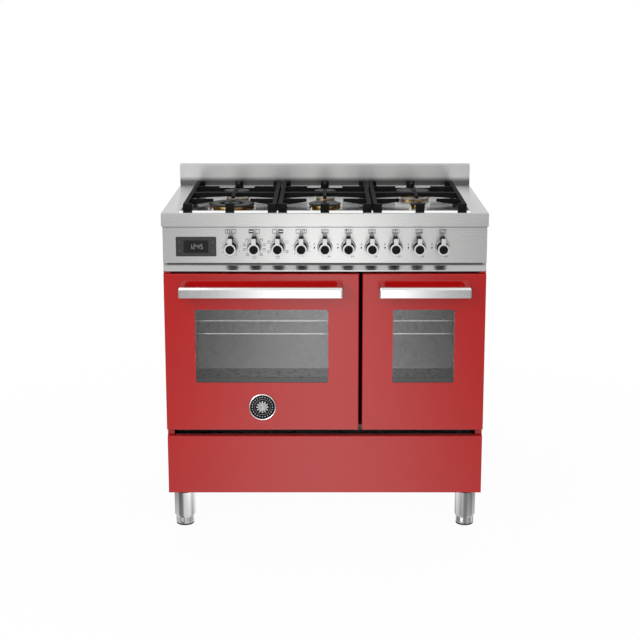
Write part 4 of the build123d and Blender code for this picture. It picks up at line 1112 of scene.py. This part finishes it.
class RANGE_OT_fascia_marks(Operator):
    """Print the plain pictograms and scale marks round the knobs"""

    bl_idname = "range.fascia_marks"
    bl_label = "Fascia marks"

    def execute(self, context):
        dark, pale = bmesh.new(), bmesh.new()
        for index, node in enumerate(KNOBS):
            place = knob_axis(node, PANEL_Y)[0]
            if node in OVEN_KNOBS:
                self.oven_sign(dark, pale, place, index)
                self.oven_scale(dark, place, index)
            else:
                self.hob_sign(dark, pale, place, index - len(OVEN_KNOBS))
                self.flame_scale(dark, place)
        piece("fascia_dark_marks", dark, "printed_black")
        piece("fascia_pale_marks", pale, "printed_grey")
        return {"FINISHED"}

    @staticmethod
    def oven_sign(dark, pale, place, index):
        """Two ovens side by side; the one that the knob serves is marked."""
        y, width, height = SIGN_HEIGHT, 13.5, 11.5
        for side, x in ((0, -8.4), (1, 8.4)):
            served = (index in (0, 1)) == (side == 0)
            box_mark(dark if served else pale, place, x, y, width, height, 1.3)
            if served and index in (1, 2):
                for edge in (-1, 1):
                    bar_mark(dark, place, x, y + edge * (height - 4.0) / 2, width - 1.8, 3.8, 0.4)
            elif served:
                bar_mark(dark, place, x, y - 1.0, 1.3, 6.4, 0.3)
                bar_mark(dark, place, x, y + 2.6, 4.4, 1.3, 0.3)

    @staticmethod
    def oven_scale(bm, place, index):
        """Scale round an oven knob: dots for heat, small boxes for oven functions."""
        if index in (0, 3):
            start, pitch = (-205, 30) if index == 0 else (-190, 27.5)
            for step in range(9):
                size = 2.4 if index == 0 or step % 2 == 0 else 1.8
                spot = on_circle(SCALE_REACH, start + pitch * step)
                mark(bm, place, arc(*spot, size / 2, 0, 324, 9))
            return
        angles = (135, 165, 195, 228, 270, 312, 345, 15, 45) if index == 1 else (150, 207, 270, 333, 30)
        for order, angle in enumerate(angles):
            x, y = on_circle(SCALE_REACH + 2.0, angle)
            box_mark(bm, place, x, y, 8.0, 7.4, 0.8)
            if order % 3 != 1:
                bar_mark(bm, place, x, y + 1.8, 4.6, 0.9, 0.25)
            if order % 2:
                bar_mark(bm, place, x, y - 1.8, 4.6, 0.9, 0.25)

    @staticmethod
    def hob_sign(dark, pale, place, index):
        """Six burners in two rows; the one that the knob serves is filled."""
        box_mark(pale, place, 0, SIGN_HEIGHT, 20.0, 12.5, 1.0)
        served = (0, 3, 1, 4, 2, 5)[index]
        for spot in range(6):
            x, y = (spot % 3 - 1) * 6.0, SIGN_HEIGHT + (2.9 if spot >= 3 else -2.9)
            if spot == served:
                mark(dark, place, arc(x, y, 2.1, 0, 340, 17))
            else:
                mark(pale, place, arc(x, y, 1.4, 0, 330, 11))

    @staticmethod
    def flame_scale(bm, place):
        """A spark over a large flame on the left, two small flames below, and an arc of ticks."""
        right = [(0.35, 0.5), (0.6, -0.1), (0.45, -0.7)]
        left = [(-0.45, -0.7), (-0.6, -0.1), (-0.25, 0.45)]
        flame = [(0, 1.2), *right, (0, -1.0), *left]
        for x, y, size in ((-29.0, -1.5, 3.4), (9.0, -27.5, 2.2), (13.5, -26.0, 2.2)):
            mark(bm, place, [(x + u * size, y + v * size) for u, v in flame])
        spark_x, spark_y, half_length, half_line = -29.0, 8.0, 2.6, 0.35
        for angle in (30, 90, 150):
            u, v = on_circle(1, angle)
            tick = []
            for s, t in ((1, 1), (-1, 1), (-1, -1), (1, -1)):
                x = spark_x + half_length * u * s - half_line * v * t
                y = spark_y + half_length * v * s + half_line * u * t
                tick.append((x, y))
            mark(bm, place, tick)
        for step in range(5):
            spot = on_circle(SCALE_REACH - 0.5, 205 + 22 * step)
            mark(bm, place, arc(*spot, 0.7, 0, 300, 6))


# Axis of the gas inlet
INLET_X, INLET_Z = 428.0, 794.0


class RANGE_OT_rear_fixings(Operator):
    """Add the screws of the back panel and the thread of the gas inlet"""

    bl_idname = "range.rear_fixings"
    bl_label = "Rear fixings"

    def execute(self, context):
        screw = ((0, 0), (4.6, 0), (4.4, 1.0), (3.2, 1.9), (1.6, 2.2), (1.5, 1.2), (0, 1.2))
        inset, across, up = 12.0, 6, 5
        width, height = back_high.x - back_low.x - 2 * inset, back_high.z - back_low.z - 2 * inset
        xs = [back_low.x + inset + width * i / across for i in range(across + 1)]
        zs = [back_low.z + inset + height * i / up for i in range(up + 1)]
        spots = [(x, z) for x in xs for z in (zs[0], zs[-1])]
        spots += [(x, z) for x in (xs[0], xs[-1]) for z in zs[1:-1]]
        screws = bmesh.new()
        for x, z in spots:
            lathe(screws, facing_back(x, back_high.y, z), screw, 20)
        piece("back_panel_screws", screws, "stem_steel")
        self.inlet_thread()
        return {"FINISHED"}

    @staticmethod
    def inlet_thread():
        """Ridges round the gas inlet, from its end inwards."""
        radius, bore, length, pitch, crest = 10.6, 7.0, 16.0, 1.8, 0.7
        profile = []
        for turn in range(9):
            root = -length + pitch * turn
            profile += [(radius, root), (radius + crest, root + pitch / 2)]
        profile += [(radius, -0.2), (bore, 0.0), (bore, -length)]
        thread = bmesh.new()
        lathe(thread, facing_back(INLET_X, box_mm("gas_manifold")[1].y, INLET_Z), profile, 40, closed=True)
        piece("gas_inlet_thread", thread, "burner_brass")


# Studio: the pool of light on the floor that the front of the range mirrors
POOL_HALF_WIDTH = 0.46
POOL_CENTRE = 1.52
POOL_EDGE = 0.38
FLOOR_HALF = 60.0

# Point that both lamps face, and the camera; lengths in metres, the tilt in degrees under the horizon
LAMP_AIM = (0, 0, 0.6)
CAMERA_PLACE = (0.0, -4.367, 1.5442)
CAMERA_TILT = 12.804
CAMERA_LENS = 84.745
CAMERA_SENSOR = 36.0
CAMERA_SHIFT = -0.0076


def sum_node(tree, operation, first, second=None):
    """A math node on two values or outputs; returns its output."""
    node = tree.nodes.new("ShaderNodeMath")
    node.operation = operation
    for socket, value in zip(node.inputs, (first, second)):
        if value is None:
            continue
        if isinstance(value, (int, float)):
            socket.default_value = value
        else:
            tree.links.new(value, socket)
    return node.outputs["Value"]


def fade(tree, value, low, high, start, end):
    """Runs smoothly from start to end as a value goes from low to high."""
    node = tree.nodes.new("ShaderNodeMapRange")
    node.interpolation_type = "SMOOTHSTEP"
    node.inputs["From Min"].default_value = low
    node.inputs["From Max"].default_value = high
    node.inputs["To Min"].default_value = start
    node.inputs["To Max"].default_value = end
    tree.links.new(value, node.inputs["Value"])
    return node.outputs["Result"]


class RANGE_OT_stage(Operator):
    """Set the floor, the soft studio light, the background and the camera"""

    bl_idname = "range.stage"
    bl_label = "Studio stage"

    def execute(self, context):
        scene = context.scene
        scene.view_settings.view_transform = "Standard"
        self.world(scene)
        self.floor(scene)
        self.softbox(scene, "key_light", place=(-2.2, -3.1, 2.2), size=2.4, watts=60.0)
        self.softbox(scene, "fill_light", place=(2.2, -2.6, 2.4), size=2.0, watts=11.0)
        camera = bpy.data.objects.new("camera", bpy.data.cameras.new("camera"))
        camera.data.lens = CAMERA_LENS
        camera.data.sensor_width = CAMERA_SENSOR
        camera.data.shift_x = CAMERA_SHIFT
        camera.location = CAMERA_PLACE
        camera.rotation_euler = (math.radians(90.0 - CAMERA_TILT), 0.0, 0.0)
        scene.collection.objects.link(camera)
        scene.camera = camera
        return {"FINISHED"}

    @staticmethod
    def world(scene):
        """White to the camera and through glass; as a light, white behind and fading aside in front."""
        world = bpy.data.worlds.new("studio")
        scene.world = world
        world.use_nodes = True
        tree = world.node_tree
        background = tree.nodes["Background"]
        background.inputs["Color"].default_value = (1, 1, 1, 1)
        rays = tree.nodes.new("ShaderNodeLightPath").outputs
        split = tree.nodes.new("ShaderNodeSeparateXYZ")
        tree.links.new(tree.nodes.new("ShaderNodeTexCoord").outputs["Generated"], split.inputs["Vector"])
        aside = sum_node(tree, "ABSOLUTE", split.outputs["X"])
        front = fade(tree, aside, 0.05, 0.6, 1.15, 0.5)
        behind = fade(tree, split.outputs["Y"], -0.15, 0.15, 0.0, 1.0)
        above = fade(tree, split.outputs["Z"], 0.45, 0.9, 1.0, 0.6)
        lift = sum_node(tree, "MULTIPLY", sum_node(tree, "SUBTRACT", 1.0, front), behind)
        studio = sum_node(tree, "MULTIPLY", sum_node(tree, "ADD", front, lift), above)
        soft = sum_node(tree, "MULTIPLY", studio, fade(tree, rays["Is Diffuse Ray"], 0, 1, 1.0, 1.22))
        seen = sum_node(tree, "MAXIMUM", rays["Is Camera Ray"], rays["Is Transmission Ray"])
        rest = sum_node(tree, "MULTIPLY", sum_node(tree, "SUBTRACT", 1.0, soft), seen)
        tree.links.new(sum_node(tree, "ADD", soft, rest), background.inputs["Strength"])

    @staticmethod
    def floor(scene):
        """A pale floor that keeps the shadow near the range and runs out to white."""
        bm = bmesh.new()
        corners = ((-1, -1), (1, -1), (1, 1), (-1, 1))
        bm.faces.new([bm.verts.new((x * FLOOR_HALF, y * FLOOR_HALF, 0)) for x, y in corners])
        mesh = bpy.data.meshes.new("floor")
        bm.to_mesh(mesh)
        bm.free()
        floor = bpy.data.objects.new("floor", mesh)
        scene.collection.objects.link(floor)
        colour = scene.range_colours.floor
        dimmer = [0.99 * value for value in colour]
        finish = make("studio_floor", colour, 0.7, specular=0.2, tone=(Grain(3.0), dimmer, colour))
        tree = finish.node_tree
        place = tree.nodes.new("ShaderNodeTexCoord").outputs["Object"]
        split = tree.nodes.new("ShaderNodeSeparateXYZ")
        link(finish, place, split.inputs["Vector"])
        distance = tree.nodes.new("ShaderNodeVectorMath")
        distance.operation = "LENGTH"
        link(finish, place, distance.inputs[0])
        rays = tree.nodes.new("ShaderNodeLightPath").outputs
        white = tree.nodes.new("ShaderNodeEmission")
        aside = sum_node(tree, "MULTIPLY", split.outputs["X"], 1 / POOL_HALF_WIDTH)
        square = sum_node(tree, "POWER", aside, 2.0)
        fall = sum_node(tree, "EXPONENT", sum_node(tree, "MULTIPLY", square, -1.0))
        pool = sum_node(tree, "ADD", sum_node(tree, "MULTIPLY", fall, POOL_CENTRE), POOL_EDGE)
        extra = sum_node(tree, "MULTIPLY", sum_node(tree, "SUBTRACT", pool, 1.0), rays["Is Glossy Ray"])
        link(finish, sum_node(tree, "ADD", extra, 1.0), white.inputs["Strength"])
        near = fade(tree, distance.outputs["Value"], 0.6, 2.2, 0.95, 1.0)
        share = sum_node(tree, "MULTIPLY", rays["Is Camera Ray"], near)
        mirrored = sum_node(tree, "MAXIMUM", rays["Is Glossy Ray"], rays["Is Transmission Ray"])
        blend = tree.nodes.new("ShaderNodeMixShader")
        link(finish, sum_node(tree, "MAXIMUM", share, mirrored), blend.inputs["Fac"])
        link(finish, shader_of(finish).outputs["BSDF"], blend.inputs[1])
        link(finish, white.outputs["Emission"], blend.inputs[2])
        link(finish, blend.outputs["Shader"], tree.nodes["Material Output"].inputs["Surface"])
        mesh.materials.append(finish)

    @staticmethod
    def softbox(scene, name, place, size, watts):
        """A square lamp that the camera doesn't see."""
        lamp = bpy.data.lights.new(name, "AREA")
        lamp.shape = "SQUARE"
        lamp.size = size
        lamp.energy = watts
        obj = bpy.data.objects.new(name, lamp)
        obj.location = place
        obj.rotation_euler = (Vector(LAMP_AIM) - Vector(place)).to_track_quat("-Z", "Y").to_euler()
        obj.visible_camera = False
        scene.collection.objects.link(obj)


STEPS = (
    RANGE_OT_frame_finishes,
    RANGE_OT_sheet_metal,
    RANGE_OT_pan_supports,
    RANGE_OT_burners,
    RANGE_OT_knobs,
    RANGE_OT_fascia_marks,
    RANGE_OT_clock,
    RANGE_OT_handles,
    RANGE_OT_windows,
    RANGE_OT_medallion,
    RANGE_OT_oven_fittings,
    RANGE_OT_legs,
    RANGE_OT_rear_fixings,
    RANGE_OT_stage,
)


class RANGE_PT_pieces(Panel):
    """Lists the settings and the steps of the range"""

    bl_idname = "RANGE_PT_pieces"
    bl_label = "Freestanding range"
    bl_space_type = "VIEW_3D"
    bl_region_type = "UI"
    bl_category = "Range"

    def draw(self, context):
        for settings in (context.scene.range_colours, context.scene.range_sizes):
            for name in settings.__annotations__:
                self.layout.prop(settings, name)
        for step in STEPS:
            self.layout.operator(step.bl_idname)


CLASSES = (RangeColours, RangeSizes, *STEPS, RANGE_PT_pieces)


def register():
    for item in CLASSES:
        bpy.utils.register_class(item)
    bpy.types.Scene.range_colours = PointerProperty(type=RangeColours)
    bpy.types.Scene.range_sizes = PointerProperty(type=RangeSizes)


def unregister():
    del bpy.types.Scene.range_sizes
    del bpy.types.Scene.range_colours
    for item in reversed(CLASSES):
        bpy.utils.unregister_class(item)


def main():
    register()
    bpy.ops.range.frame_finishes()
    bpy.ops.range.sheet_metal()
    bpy.ops.range.pan_supports()
    bpy.ops.range.burners()
    bpy.ops.range.knobs()
    bpy.ops.range.fascia_marks()
    bpy.ops.range.clock()
    bpy.ops.range.handles()
    bpy.ops.range.windows()
    bpy.ops.range.medallion()
    bpy.ops.range.oven_fittings()
    bpy.ops.range.legs()
    bpy.ops.range.rear_fixings()
    bpy.ops.range.stage()


if __name__ == "__main__":
    main()
